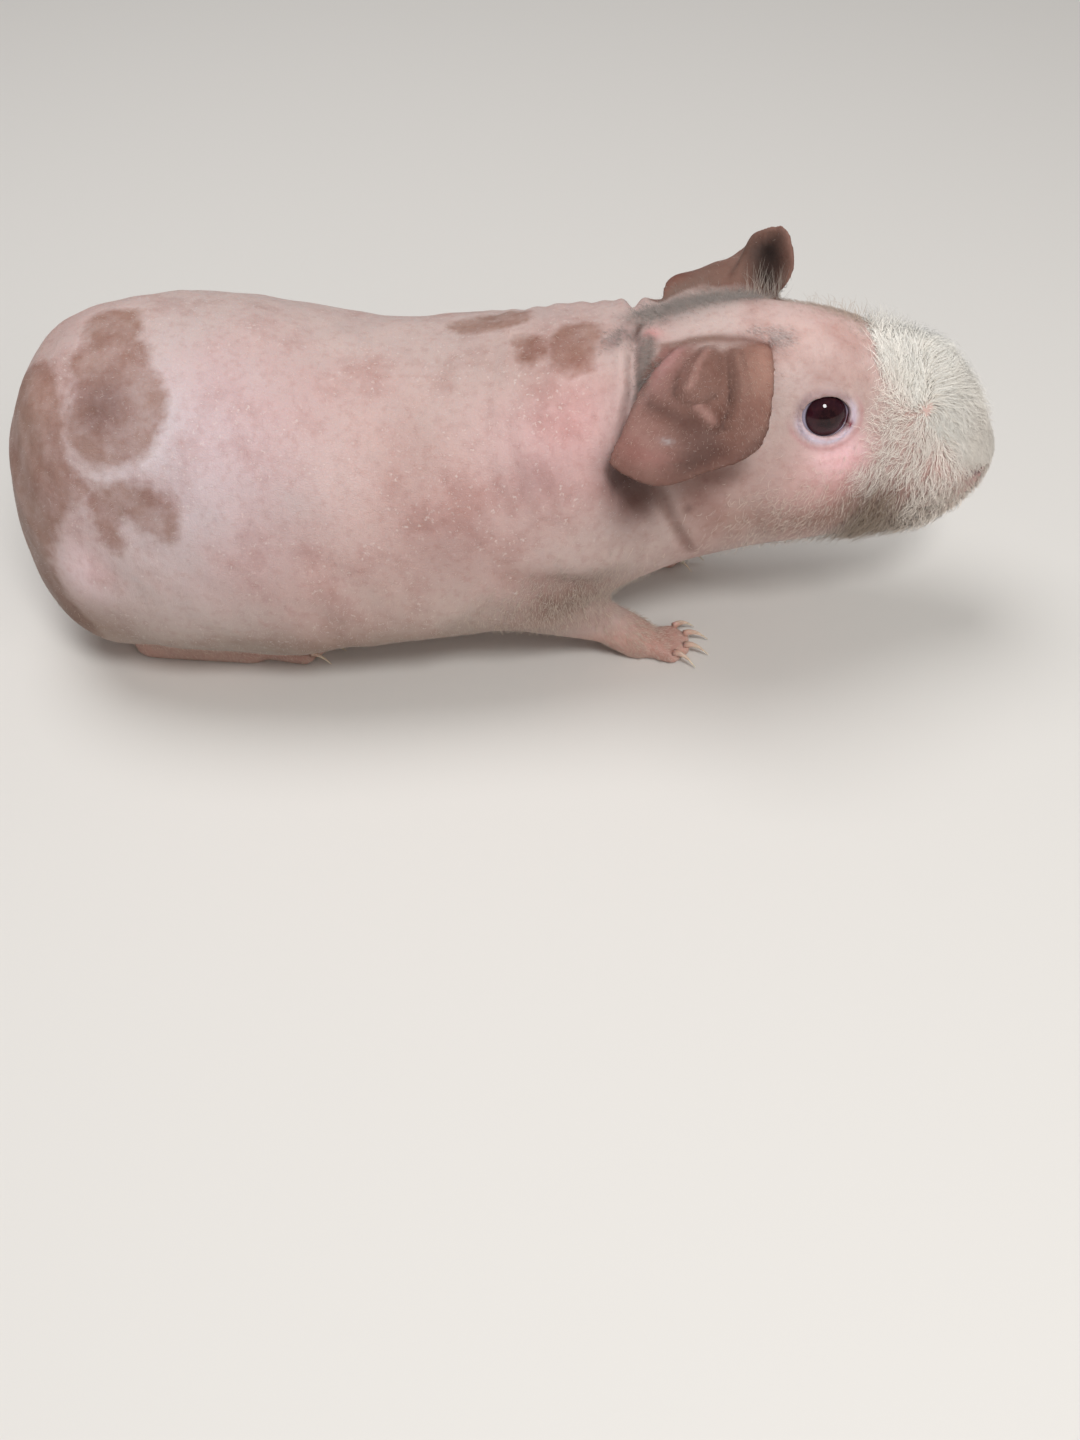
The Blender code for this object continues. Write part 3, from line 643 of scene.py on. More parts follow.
def sculpted(points, normals):
    """The skin's folds, creases and wrinkles, pushed into its shape."""
    x, y, z = points.T
    height = np.zeros(len(points))
    mirrored = points * np.array((1, -1, 1))
    for line, width, depth in FOLDS.values():
        for side_points in (points, mirrored):
            distance, share = distance_to_line(side_points, line)
            height += crease(distance, share, width, depth)
    flat = np.stack([x, np.zeros(len(x)), z], axis=1)
    line = [(px, 0, pz) for px, pz in MOUTH_LINE]
    distance, share = distance_to_line(flat, line)
    open_mouth = smooth_step(x, 95.5, 98.5)
    lips = bell(distance - 1.7, 1.0)
    height += open_mouth * (0.35 * lips - MOUTH_DEPTH * bell(distance, MOUTH_WIDTH))
    shoulder = smooth_step(x, -6, 6) * (1 - smooth_step(x, 26, 33)) * smooth_step(z, 48, 60)
    height += 0.16 * shoulder * np.sin(x * 1.15 + 2.5 * np.sin(z * 0.11) + np.sin(y * 0.2))
    calm = (1 - smooth_step(x, 30, 42)) * smooth_step(z, FOOT_TOP, FOOT_TOP + 12)
    height += calm * (0.32 * wander(points, 5.0) + 0.14 * wander(points, 1.9))
    return points + normals * height[:, None]


# Materials


def linear(hex_colour):
    """Hex sRGB as the linear colour that shaders use."""
    values = [int(hex_colour[i : i + 2], 16) / 255 for i in (1, 3, 5)]
    return [v / 12.92 if v <= 0.04045 else ((v + 0.055) / 1.055) ** 2.4 for v in values] + [1]


def add(tree, kind, links=None, **settings):
    """Adds a node with its settings and links; a setting whose name isn't a property is an input's value."""
    node = tree.nodes.new(f"ShaderNode{kind}")
    for name, value in settings.items():
        if hasattr(node, name):
            setattr(node, name, value)
        else:
            node.inputs[name.replace("_", " ")].default_value = value
    for socket, source in (links or {}).items():
        tree.links.new(source, node.inputs[socket])
    return node


def new_material(name, roughness, **sockets):
    material = bpy.data.materials.new(name)
    material.use_nodes = True
    shader = material.node_tree.nodes["Principled BSDF"]
    shader.inputs["Roughness"].default_value = roughness
    for socket, value in sockets.items():
        shader.inputs[socket.replace("_", " ")].default_value = value
    return material, material.node_tree, shader


def noise(tree, size, detail=3.0, roughness=0.55, stretch=(1, 1, 1)):
    """Noise in object space whose lumps are about this many millimetres across."""
    place = add(tree, "TexCoord").outputs["Object"]
    mapping = add(tree, "Mapping", {"Vector": place})
    mapping.inputs["Scale"].default_value = stretch
    return add(
        tree, "TexNoise", {"Vector": mapping.outputs[0]}, Scale=0.5 / (size * MM), Detail=detail,
        Roughness=roughness,
    ).outputs["Fac"]


def ranged(tree, value, start, end, low=0.0, high=1.0):
    """The value's range from start to end as low to high, clamped."""
    return add(
        tree, "MapRange", {"Value": value}, From_Min=start, From_Max=end, To_Min=low, To_Max=high
    ).outputs["Result"]


def fill(tree, node, inputs):
    """Fills a node's inputs, by number: each value is a socket to link, a hex colour, or is set as it is."""
    for socket, value in inputs.items():
        if isinstance(value, bpy.types.NodeSocket):
            tree.links.new(value, node.inputs[socket])
        else:
            node.inputs[socket].default_value = linear(value) if isinstance(value, str) else value


def mixed(tree, share, first, second, blend="MIX"):
    """Two colours mixed; each is a socket, a hex colour or a linear colour."""
    node = add(tree, "Mix", data_type="RGBA", blend_type=blend)
    fill(tree, node, {0: share, 6: first, 7: second})
    return node.outputs[2]


def math_of(tree, operation, *values):
    node = add(tree, "Math", operation=operation)
    fill(tree, node, dict(enumerate(values)))
    return node.outputs[0]


def attribute(tree, name, output="Fac"):
    return add(tree, "Attribute", attribute_name=name).outputs[output]


def make_skin_material():
    """Living skin: thin, warm, a little translucent, with pores, cross-hatched lines and dark patches."""
    material, tree, shader = new_material(
        "living_skin", 0.5, IOR=1.4, Subsurface_Weight=0.12, Subsurface_Scale=0.0015
    )
    shader.inputs["Subsurface Radius"].default_value = (1.0, 0.42, 0.28)
    colour = attribute(tree, "tint", "Color")
    broad = noise(tree, 14)
    middle = noise(tree, 4.5, detail=4)
    fine = noise(tree, 0.9, detail=2)
    speckle = noise(tree, 0.45, detail=2)
    smudges = noise(tree, 7, detail=5, roughness=0.65)
    for cloud, start, end, most, shade in (
        (broad, 0.42, 0.68, 0.35, (0.97, 0.66, 0.66, 1)),
        (middle, 0.50, 0.72, 0.28, (1.2, 1.22, 1.2, 1)),
        (smudges, 0.50, 0.66, 0.42, (0.66, 0.56, 0.52, 1)),
        (fine, 0.50, 0.72, 0.36, (0.76, 0.6, 0.57, 1)),
    ):
        colour = mixed(tree, ranged(tree, cloud, start, end, 0, most), colour, shade, "MULTIPLY")
    edge = math_of(tree, "MULTIPLY", math_of(tree, "SUBTRACT", middle, 0.5), 7.0)
    ragged = math_of(tree, "MULTIPLY", math_of(tree, "SUBTRACT", fine, 0.5), 1.6)
    inside = math_of(tree, "ADD", math_of(tree, "ADD", attribute(tree, "patch"), edge), ragged)
    cover = ranged(tree, inside, -1.3, 1.3)
    mottle = ranged(tree, noise(tree, 2.2, detail=4), 0.36, 0.62, 0.66, 1.0)
    cover = math_of(tree, "MULTIPLY", cover, mottle)
    colour = mixed(tree, cover, colour, (0.60, 0.475, 0.41, 1), "MULTIPLY")
    flakes = ranged(tree, speckle, 0.60, 0.72, 0, 0.34)
    for where in (
        ranged(tree, smudges, 0.42, 0.56), ranged(tree, cover, 0, 1, 1.0, 0.35), attribute(tree, "dry")
    ):
        flakes = math_of(tree, "MULTIPLY", flakes, where)
    colour = mixed(tree, flakes, colour, "#efe7e2")
    tree.links.new(colour, shader.inputs["Base Color"])
    rough = ranged(tree, middle, 0.35, 0.65, 0.44, 0.60)
    rough = math_of(tree, "MULTIPLY_ADD", attribute(tree, "on_ear"), 0.14, rough)
    tree.links.new(rough, shader.inputs["Roughness"])
    place = add(tree, "TexCoord").outputs["Object"]
    lines = add(
        tree, "TexVoronoi", {"Vector": place}, feature="DISTANCE_TO_EDGE", Scale=1 / (0.8 * MM)
    ).outputs["Distance"]
    across = noise(tree, 1.6, detail=2, stretch=(1.0, 0.25, 0.25))
    relief = math_of(tree, "ADD", math_of(tree, "MULTIPLY", ranged(tree, lines, 0.0, 0.10), 0.14), across)
    relief = math_of(tree, "ADD", relief, math_of(tree, "MULTIPLY", noise(tree, 0.5), 0.5))
    bump = add(tree, "Bump", {"Height": relief}, Strength=0.5, Distance=0.00045)
    tree.links.new(bump.outputs["Normal"], shader.inputs["Normal"])
    return material


# Markings: outlines in the unwrap of the trunk, as place along the body in millimetres and degrees round it
# from the middle of the back, positive on the right side. A degree stands for this many millimetres.
DEGREE = 0.66
FAR_OUTSIDE = 30.0
PATCHES = {
    "rump": (
        (-88.5, -3), (-85, -6), (-78, -2), (-76.3, 7), (-73.5, 15), (-71.5, 22), (-68, 33.5), (-67.8, 42),
        (-72.5, 52), (-78.7, 57), (-85.2, 58), (-90, 51.5), (-92, 42), (-89.5, 37), (-88.6, 29), (-91.6, 20),
        (-89, 12), (-90.5, 4),
    ),
    "rump_end": (
        (-112, 6), (-99, 13), (-95.5, 19), (-93.5, 27), (-92, 36), (-91.5, 48), (-89.5, 57), (-86.5, 61),
        (-87.5, 67), (-91, 71), (-94, 76), (-97, 86), (-99, 96), (-98, 108), (-94, 118), (-94, 128),
        (-112, 128),
    ),
    "hip": (
        (-86, 61), (-77, 61), (-71.6, 63), (-66.2, 66), (-65.6, 73), (-65.2, 79), (-69, 81), (-73, 78.5),
        (-76, 75.5), (-78, 72), (-79.5, 76), (-79.6, 82), (-81, 87), (-84, 84), (-86.5, 77), (-87, 67),
    ),
    "nape": ((-9, -4), (-9, -15), (-3, -22), (5, -26), (10, -20), (10, -7), (2, -3)),
    "withers": ((6.5, 8), (9, 4), (13, 5), (16, 7), (17, 14), (12, 20), (8, 17)),
    "neck": ((14.5, 5), (19, -2), (25.5, 2), (27, 12), (25, 21), (20, 24), (16, 22), (14, 14)),
    "left_haunch": (
        (-94, -36), (-88, -27), (-80, -31), (-74, -26), (-67, -34), (-70, -45), (-63, -52), (-69, -61),
        (-77, -58), (-80, -70), (-88, -74), (-91, -63), (-87, -54), (-93, -47),
    ),
    "left_flank": (
        (-39, -66), (-33, -58), (-27, -63), (-20, -60), (-17, -69), (-22, -77), (-20, -86), (-28, -84),
        (-33, -77),
    ),
    "left_shoulder": ((13, -42), (17, -36), (24, -40), (22, -48), (26, -55), (20, -62), (16, -56), (11, -52)),
}


def inside_by(place, outline):
    """How far each place of the unwrap lies inside the outline, in millimetres, negative outside."""
    corners = np.array([(px, degrees * DEGREE) for px, degrees in outline], float)
    nearest = np.full(len(place), 1e9)
    crossings = np.zeros(len(place), int)
    for start, end in zip(corners, np.roll(corners, -1, axis=0)):
        run = end - start
        share = np.clip((place - start) @ run / (run @ run), 0, 1)
        nearest = np.minimum(nearest, np.linalg.norm(place - start - share[:, None] * run, axis=1))
        between = (start[1] > place[:, 1]) != (end[1] > place[:, 1])
        rise = end[1] - start[1] or 1e-9
        crossings += between & (place[:, 0] < start[0] + (place[:, 1] - start[1]) / rise * run[0])
    return np.where(crossings % 2 == 1, nearest, -nearest)


def patch_depth(points):
    """How far each point lies inside the nearest dark patch, in millimetres, negative outside."""
    around = np.degrees(np.arctan2(-points[:, 1], points[:, 2] - BODY_AXIS_HEIGHT))
    place = np.stack([points[:, 0], around * DEGREE], axis=1)
    depth = np.full(len(points), -FAR_OUTSIDE)
    for outline in PATCHES.values():
        depth = np.maximum(depth, inside_by(place, outline))
    return depth


# Airbrushed tints: place in millimetres (right side is negative y), radii, colour and strength. Those
# named in MIRRORED_TINTS show on both sides.
TINTS = (
    ("mid_flank", (-35, -38, 55), (45, 30, 26), "#c9a7a1", 0.7),
    ("flank_shade", (-44, -38, 58), (12, 10, 13), "#b09a95", 0.5),
    # Painted shade: the lower flank darker and greyer, as light falls from above.
    ("lower_flank", (-40, -42, 20), (60, 30, 20), "#ae9d93", 0.8),
    ("hip", (-66, -28, 62), (26, 22, 30), "#cdc1c6", 0.8),
    ("rump_end", (-105, 5, 52), (8.5, 34, 34), "#b0978d", 0.8),
    ("dark_centre", (-82.8, -23, 76.2), (6, 7, 6), "#8f7a77", 0.8),
    # Painted shade on the low end of the rump, where it curves away under the body.
    ("rump_low", (-99, -33, 24), (17, 17, 12), "#8a6c5c", 0.85),
    ("rump_band", (-99, -20, 76), (5, 7, 5), "#c9aba3", 0.6),
    ("rump_pink", (-91, -38, 42), (7, 12, 8), "#e5cbcd", 0.95),
    ("shoulder", (16, -25, 68), (18, 14, 16), "#c9a3a1", 0.8),
    ("flush", (22, -22, 73), (7, 8, 10), "#cc9f9d", 0.4),
    ("mottle_neck", (12, -31, 62), (7, 6, 5), "#a17f7c", 0.6),
    ("mottle_arm", (-8, -38, 48), (12, 8, 9), "#a78b85", 0.6),
    ("behind_shoulder", (-14, -30, 62), (9, 12, 20), "#b39a93", 0.6),
    ("shoulder_top", (8, -10, 78), (16, 12, 6), "#b29b93", 0.5),
    ("nape_pink", (37.7, -6.3, 82), (2.0, 2.0, 3), "#dc9a98", 0.8),
    ("forehead", (72, 0, 80), (22, 16, 12), "#cfb7b0", 0.8),
    ("cheek", (78, -22, 50), (18, 12, 14), "#d1a19c", 0.8),
    ("left_cheek", (78, 22, 50), (18, 12, 14), "#cd9c97", 0.8),
    # Darker skin with painted shade under the ears, where they hang over the neck: under_ear and
    # under_ear_top below the right ear, left_under_ear below the left one.
    ("under_ear", (34.5, -29, 54.5), (6.5, 8, 8.0), "#55342c", 1.0),
    ("under_ear_top", (31.5, -29, 61), (4.0, 6, 5.0), "#4f312a", 0.95),
    ("ear_shadow", (52, -25, 58), (8.0, 6, 3.6), "#7a574d", 0.8),
    ("left_under_ear", (40, 28, 54), (9, 7, 8), "#8a655d", 0.7),
    ("jaw", (88, -18, 42.5), (10, 10, 10), "#58443a", 1.0),
    ("jaw_front", (96, -13, 36), (9, 9, 6), "#5c4a40", 0.95),
    ("left_jaw", (88, 16, 40), (11, 12, 9), "#6b564b", 0.9),
    ("cheek_low", (77, -23, 44), (15, 8, 5), "#86685c", 0.85),
    ("throat_side", (57, -26, 44), (12, 8, 10), "#9d8277", 0.7),
    ("muzzle", (104, 0, 58), (15, 20, 16), "#d8b7ad", 0.9),
    ("lips", (111, 0, 41), (8, 10, 4.5), "#c28a86", 0.7),
    ("nose_pad", (115.5, 0, 45.5), (4, 7, 3), "#b0827f", 0.7),
    # Painted shade of the nostril openings, which are not cut into the skin.
    ("nostril_side", (112.6, -8.8, 46.6), (2.1, 2.4, 1.5), "#5c3b43", 0.95),
    ("nostril", (115.0, -6.2, 45.8), (2.4, 2.8, 1.2), "#3f272c", 0.95),
    ("arm", (20, -34, 29), (15, 9, 9), "#776055", 0.85),
    ("under_eye", (80, -21, 60), (7, 6, 5), "#f6c8cc", 0.9),
    ("neck_front", (47, -26, 53), (5, 5, 8), "#856359", 0.65),
    # Painted shade along the lowest band of the body, near the floor.
    ("belly_edge", (-30, -38, 18), (70, 14, 9), "#8c7d70", 0.75),
    ("mole", (45.9, -26.5, 49.9), (1.3, 1.3, 1.3), "#6f534b", 0.8),
    ("brow", (72, -17, 75), (7, 5, 3), "#ad918c", 0.5),
)
MIRRORED_TINTS = ("nostril_side", "nostril", "arm", "under_eye")
# Tints along lines on head and neck: points, half width in millimetres, colour and strength.
LINE_TINTS = (
    (
        "far_ear_root", ((35.5, -0.5, 82), (41, 1.5, 82.2), (46, 3.8, 82), (51, 5.8, 82), (58, 8.5, 82)),
        4.5, "#857b75", 0.9,
    ),
    ("far_ear_edge", ((44, 7.5, 81.5), (52, 10, 81.5), (60, 11, 81.5)), 2.4, "#7c6d66", 0.85),
    (
        "ear_top", ((41, -11.5, 80.3), (46, -10, 81.6), (52, -9.3, 82), (58, -9.8, 82), (62, -11, 81)),
        1.9, "#7c5d53", 0.9,
    ),
    ("far_ear_front", ((56, 9.5, 82), (62, 10.4, 82), (66, 10, 81.8)), 2.2, "#8a807a", 0.8),
    (
        "wedge", ((37.2, -8, 81.2), (36.7, -12, 79.8), (36.1, -16, 77.3), (35.4, -20, 74.3)),
        2.0, "#6c615b", 0.9,
    ),
    ("nape_smudge", ((28.9, -8.6, 80.7), (32, -5.5, 81.5)), 2.0, "#897470", 0.75),
    # Painted shade in the creases behind the ear and down the throat: darker lines along their folds.
    ("neck", NECK_LINE, 0.8, "#4f3a33", 0.9),
    ("throat", THROAT_LINE, 1.4, "#6f4f45", 0.65),
    (
        "ear_root", ((40, -9.4, 81), (44.1, -9.8, 82), (47.4, -9, 82.4), (52.8, -9, 82.7)),
        0.8, "#80655b", 0.75,
    ),
    ("jaw_edge", ((62, -24, 46), (72, -23, 44), (82, -20, 43)), 3.0, "#a88b82", 0.5),
)
# The ears: their own colour, tints with centre and radii as shares of the way across and along, and tints
# along the lines of their folds: painted shade in the valleys and folds, painted highlights on the ridges.
EAR_TINTS = {
    "right": (
        "#79594f",
        (
            ((0.15, 0.35), (0.16, 0.35), "#a37a76", 0.9),
            ((0.33, 0.80), (0.12, 0.16), "#967169", 0.9),
            ((0.12, 0.80), (0.09, 0.25), "#7b5f58", 0.7),
            ((0.39, 0.73), (0.014, 0.017), "#a59c9b", 0.85),
            ((0.37, 0.84), (0.05, 0.05), "#98645e", 0.35),
            # Painted shade in the near ear's low valley.
            ((0.48, 0.88), (0.06, 0.10), "#432e28", 0.9),
            ((0.83, 0.50), (0.15, 0.45), "#a57e70", 0.85),
            # Painted shade along the front of the near ear's lower edge.
            ((0.68, 0.97), (0.14, 0.07), "#5a3e37", 0.7),
            ((0.25, 0.99), (0.20, 0.05), "#775b52", 0.7),
        ),
        (
            # Painted shade along the low fold, valley, rear fold and cross fold; painted highlights along the
            # ridge, bump and front ridge.
            (EAR_LOW_FOLD, 1.7, "#5c423b", 0.75),
            (EAR_VALLEY, 0.75, "#3f2a24", 0.85),
            (EAR_REAR_FOLD, 0.6, "#4d3730", 0.8),
            (EAR_CROSS_FOLD, 0.6, "#553e37", 0.75),
            (EAR_RIDGE, 0.4, "#ab867d", 0.5),
            (EAR_BUMP, 0.42, "#b08b82", 0.5),
            (EAR_FRONT_RIDGE, 0.9, "#8a6a5f", 0.5),
        ),
    ),
    "left": (
        "#7b5d52",
        (
            ((0.15, 0.70), (0.12, 0.30), "#74483f", 0.7),
            ((0.45, 0.80), (0.20, 0.15), "#8f7064", 0.7),
            # Dark skin inside the raised far ear, with painted shade in its hollow.
            ((0.77, 0.62), (0.16, 0.28), "#231916", 1.0),
            ((0.85, 0.36), (0.15, 0.28), "#2b201c", 1.0),
            ((0.72, 0.97), (0.14, 0.06), "#8a6b60", 0.8),
            ((0.10, 0.15), (0.30, 0.20), "#6f5f57", 0.6),
        ),
        (),
    ),
}
BASE_TINT = "#bfaaa4"
DOWN_TINT = "#e2d8cc"
FOOT_TINT = "#c4a195"


def blend_towards(colours, hex_colour, share):
    """The colours drawn to one colour, each by its own share or all by one."""
    return colours + (np.array(linear(hex_colour)[:3]) - colours) * np.reshape(share, (-1, 1))


def skin_tint(points, ears):
    """The skin's colour at each point, before its fine mottling, with painted shade and highlights in it."""
    ear_cover, along, across = ears
    colours = np.tile(np.array(linear(BASE_TINT)[:3]), (len(points), 1))
    for name, (x, y, z), radii, colour, strength in TINTS:
        for centre_y in (y, -y) if name in MIRRORED_TINTS else (y,):
            shares = strength * bump_at(points, (x, centre_y, z), radii)
            colours = blend_towards(colours, colour, shares)
    for _, line, width, colour, strength in LINE_TINTS:
        distance, _ = distance_to_line(points, line)
        colours = blend_towards(colours, colour, strength * bell(distance, width))
    covered = 0.9 * dense_coat(points) ** 2 * (1 - near_pair(points, WHORL, 2.4))
    colours = blend_towards(colours, DOWN_TINT, covered)
    colours = blend_towards(colours, FOOT_TINT, 1 - smooth_step(points[:, 2], 7, 15))
    for name in SIDES:
        forward, up, out = at_eye(points, name)
        near = smooth_step(out, 1, 4) * (np.abs(out) < 12)
        ring = np.hypot(forward / LID_MARGIN[0], (up + 0.3) / LID_MARGIN[1])
        margin = near * bell(ring - 1.04, 0.16)
        lower = 1 - smooth_step(up - 0.5 * forward, -2.0, 4.0)
        band = near * bell(ring - 1.38, 0.10) * lower
        corner = near * np.exp(-(((forward - 5.6) / 0.9) ** 2) - ((up + 1.4) / 0.9) ** 2)
        colours = blend_towards(colours, "#8a6d72", margin * 0.55 * (1 - lower))
        colours = blend_towards(colours, "#d9cbdb", margin * 0.95 * lower)
        colours = blend_towards(colours, "#c08a8c", band * 0.5)
        colours = blend_towards(colours, "#7a1f28", corner)
    place = np.stack([across, along], axis=1)
    for name, side in SIDES.items():
        own_colour, tints, line_tints = EAR_TINTS[name]
        on_ear = ear_cover * (points[:, 1] * side > 0)
        colours = blend_towards(colours, own_colour, on_ear)
        for centre, radii, colour, strength in tints:
            colours = blend_towards(colours, colour, strength * on_ear * bump_at(place, centre, radii))
        for line, width, colour, strength in line_tints:
            distance, _ = distance_to_line(place * EAR_SPAN, np.array(line) * EAR_SPAN)
            colours = blend_towards(colours, colour, strength * on_ear * bell(distance, width))
    return colours


def set_values(mesh, name, values):
    """Stores one number, or one colour, for each vertex."""
    if values.ndim == 1:
        layer = mesh.attributes.new(name, "FLOAT", "POINT")
        layer.data.foreach_set("value", values.astype(np.float32))
    else:
        layer = mesh.attributes.new(name, "FLOAT_COLOR", "POINT")
        full = np.concatenate([values, np.ones((len(values), 1))], axis=1)
        layer.data.foreach_set("color", full.astype(np.float32).ravel())


# Eyes


def make_eye(name):
    """A ball with its clear front a little bulged; off_axis holds the degrees from the middle of the iris."""
    ahead, up, gaze = eye_frame(SIDES[name])
    bpy.ops.object.select_all(action="DESELECT")
    bpy.ops.mesh.primitive_uv_sphere_add(segments=72, ring_count=56, radius=EYE_RADIUS * MM)
    eye = bpy.context.object
    eye.name = f"eyeball_{name}"
    eye.data.transform(gaze.to_track_quat("Z", "Y").to_matrix().to_4x4())
    points = mesh_points(eye.data)
    aim = (gaze - ahead * IRIS_SHIFT).normalized()
    off_axis = np.degrees(np.arccos(np.clip(points @ np.array(aim) / EYE_RADIUS, -1, 1)))
    points *= (1 + FRONT_BULGE * bell(off_axis, 34))[:, None]
    height, forward = (points @ np.array(axis) / EYE_RADIUS for axis in (up, ahead))
    move_points(eye.data, points + np.array(eye_centre(name)))
    set_values(eye.data, "off_axis", off_axis)
    set_values(eye.data, "height", height)
    set_values(eye.data, "forward", forward)
    eye.data.shade_smooth()
    eye.data.materials.append(eye_material)
    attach(eye, "root")
    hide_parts(f"eye_{name}")


def make_eye_material():
    """A wet eye: a very dark maroon iris, bluish white round it and a red corner, under one film of tears."""
    material, tree, shader = new_material("wet_eye", 0.03, IOR=1.38)
    off_axis = attribute(tree, "off_axis")
    height = attribute(tree, "height")
    # Iris and white darker towards the top: painted shade under the upper lid.
    iris = mixed(tree, ranged(tree, height, -0.5, 0.4), "#361620", "#2a0f18")
    iris = mixed(tree, ranged(tree, off_axis, 15, 30), "#1d080e", iris)
    iris = mixed(tree, ranged(tree, noise(tree, 0.6), 0.45, 0.7, 0, 0.12), iris, "#6d3a34")
    white = mixed(tree, ranged(tree, height, -0.3, 0.5), "#c3c0d6", "#8d7f8f")
    rim = mixed(tree, ranged(tree, off_axis, 42, 44.5), iris, "#1c0d16")
    colour = mixed(tree, ranged(tree, off_axis, 44.5, 47.5), rim, white)
    ahead = ranged(tree, attribute(tree, "forward"), 0.68, 0.78)
    corner = math_of(tree, "MULTIPLY", ahead, ranged(tree, height, 0.25, 0.05))
    colour = mixed(tree, corner, colour, "#6a1a22")
    tree.links.new(colour, shader.inputs["Base Color"])
    return material


# Claws


def make_claw(node_name):
    """A curved horn claw in the place of the plain one: a cone, bent along the plain claw's line."""
    points = mesh_points(frame["nodes"][node_name].data) - np.array(PART_SHIFT)
    tip = points[points[:, 0].argmax()]
    away = np.linalg.norm(points - tip, axis=1)
    root = points[away > away.max() - 1.2].mean(axis=0)
    run = tip - root
    length = np.linalg.norm(run[:2]) + CLAW_SUNK
    heading = math.atan2(run[1], run[0])
    bpy.ops.object.select_all(action="DESELECT")
    bpy.ops.mesh.primitive_cone_add(
        vertices=CLAW_SIDES, radius1=CLAW_ROOT_RADIUS * MM, radius2=CLAW_TIP_RADIUS * MM, depth=length * MM
    )
    claw = bpy.context.object
    claw.name = f"horn_{node_name}"
    bpy.ops.object.mode_set(mode="EDIT")
    bpy.ops.mesh.select_all(action="SELECT")
    bpy.ops.mesh.subdivide(number_cuts=5)
    bpy.ops.object.mode_set(mode="OBJECT")
    local = mesh_points(claw.data)
    share = local[:, 2] / length + 0.5
    aside = local[:, 1] * CLAW_FLATNESS
    rise = local[:, 0] + root[2] + 0.15 + 0.9 * np.sin(np.pi * share) - (root[2] - tip[2] - 0.1) * share**1.6
    forward = share * length - CLAW_SUNK
    x = root[0] + forward * math.cos(heading) - aside * math.sin(heading)
    y = root[1] + forward * math.sin(heading) + aside * math.cos(heading)
    move_points(claw.data, np.stack([x, y, np.maximum(rise, CLAW_FLOOR)], axis=1))
    set_values(claw.data, "share", share)
    shape = bmesh.new()
    shape.from_mesh(claw.data)
    bmesh.ops.recalc_face_normals(shape, faces=shape.faces)
    shape.to_mesh(claw.data)
    shape.free()
    claw.data.shade_smooth()
    claw.data.materials.append(claw_material)
    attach(claw, "root")
    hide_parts(node_name)


def make_claw_material():
    """Horn: pale, half clear, with fine lines along it and a darker quick near the root."""
    material, tree, shader = new_material(
        "pale_horn", 0.32, IOR=1.54, Subsurface_Weight=0.2, Subsurface_Scale=0.0008
    )
    lengthwise = (0.2, 1, 1)
    colour = mixed(tree, ranged(tree, attribute(tree, "share"), 0.1, 0.8), "#c9a294", "#dccdb6")
    streaks = ranged(tree, noise(tree, 0.4, stretch=lengthwise), 0.45, 0.65, 0, 0.4)
    colour = mixed(tree, streaks, colour, "#a58b77")
    tree.links.new(colour, shader.inputs["Base Color"])
    relief = noise(tree, 0.3, stretch=lengthwise)
    bump = add(tree, "Bump", {"Height": relief}, Strength=0.3, Distance=0.0001)
    tree.links.new(bump.outputs["Normal"], shader.inputs["Normal"])
    return material


# Coat


def skin_samples(count, density, seed):
    """Random roots on the skin: place, normal and tint of each,
    and the random source. density is relative."""
    rng = np.random.default_rng(seed)
    mesh = skin.data
    corners = np.empty(len(mesh.polygons) * 3, np.int64)
    mesh.polygons.foreach_get("vertices", corners)
    corners = corners.reshape(-1, 3)
    points, normals = skin_points[corners], skin_normals[corners]
    areas = np.linalg.norm(np.cross(points[:, 1] - points[:, 0], points[:, 2] - points[:, 0]), axis=1)
    weight = areas * density(points.mean(axis=1))
    chosen = rng.choice(len(corners), count, p=weight / weight.sum())
    shares = rng.dirichlet((1, 1, 1), count)[:, :, None]
    roots = (points[chosen] * shares).sum(axis=1)
    tints = (skin_tints[corners[chosen]] * shares).sum(axis=1)
    return roots, unit((normals[chosen] * shares).sum(axis=1)), tints, rng


def on_skin(points):
    """The nearest place on the skin to each point, and the normal there."""
    found = [skin_tree.find_nearest(point) for point in points]
    places = np.array([tuple(hit[0]) for hit in found])
    return places, np.array([tuple(hit[1]) for hit in found])


def along_skin(directions, normals):
    """Each direction without its part along the normal, at length 1."""
    return unit(directions - normals * (directions * normals).sum(axis=1)[:, None])


def turned(directions, axes, angles):
    """Each direction turned about its axis, which is square to it, by its angle."""
    return directions * np.cos(angles)[:, None] + np.cross(axes, directions) * np.sin(angles)[:, None]


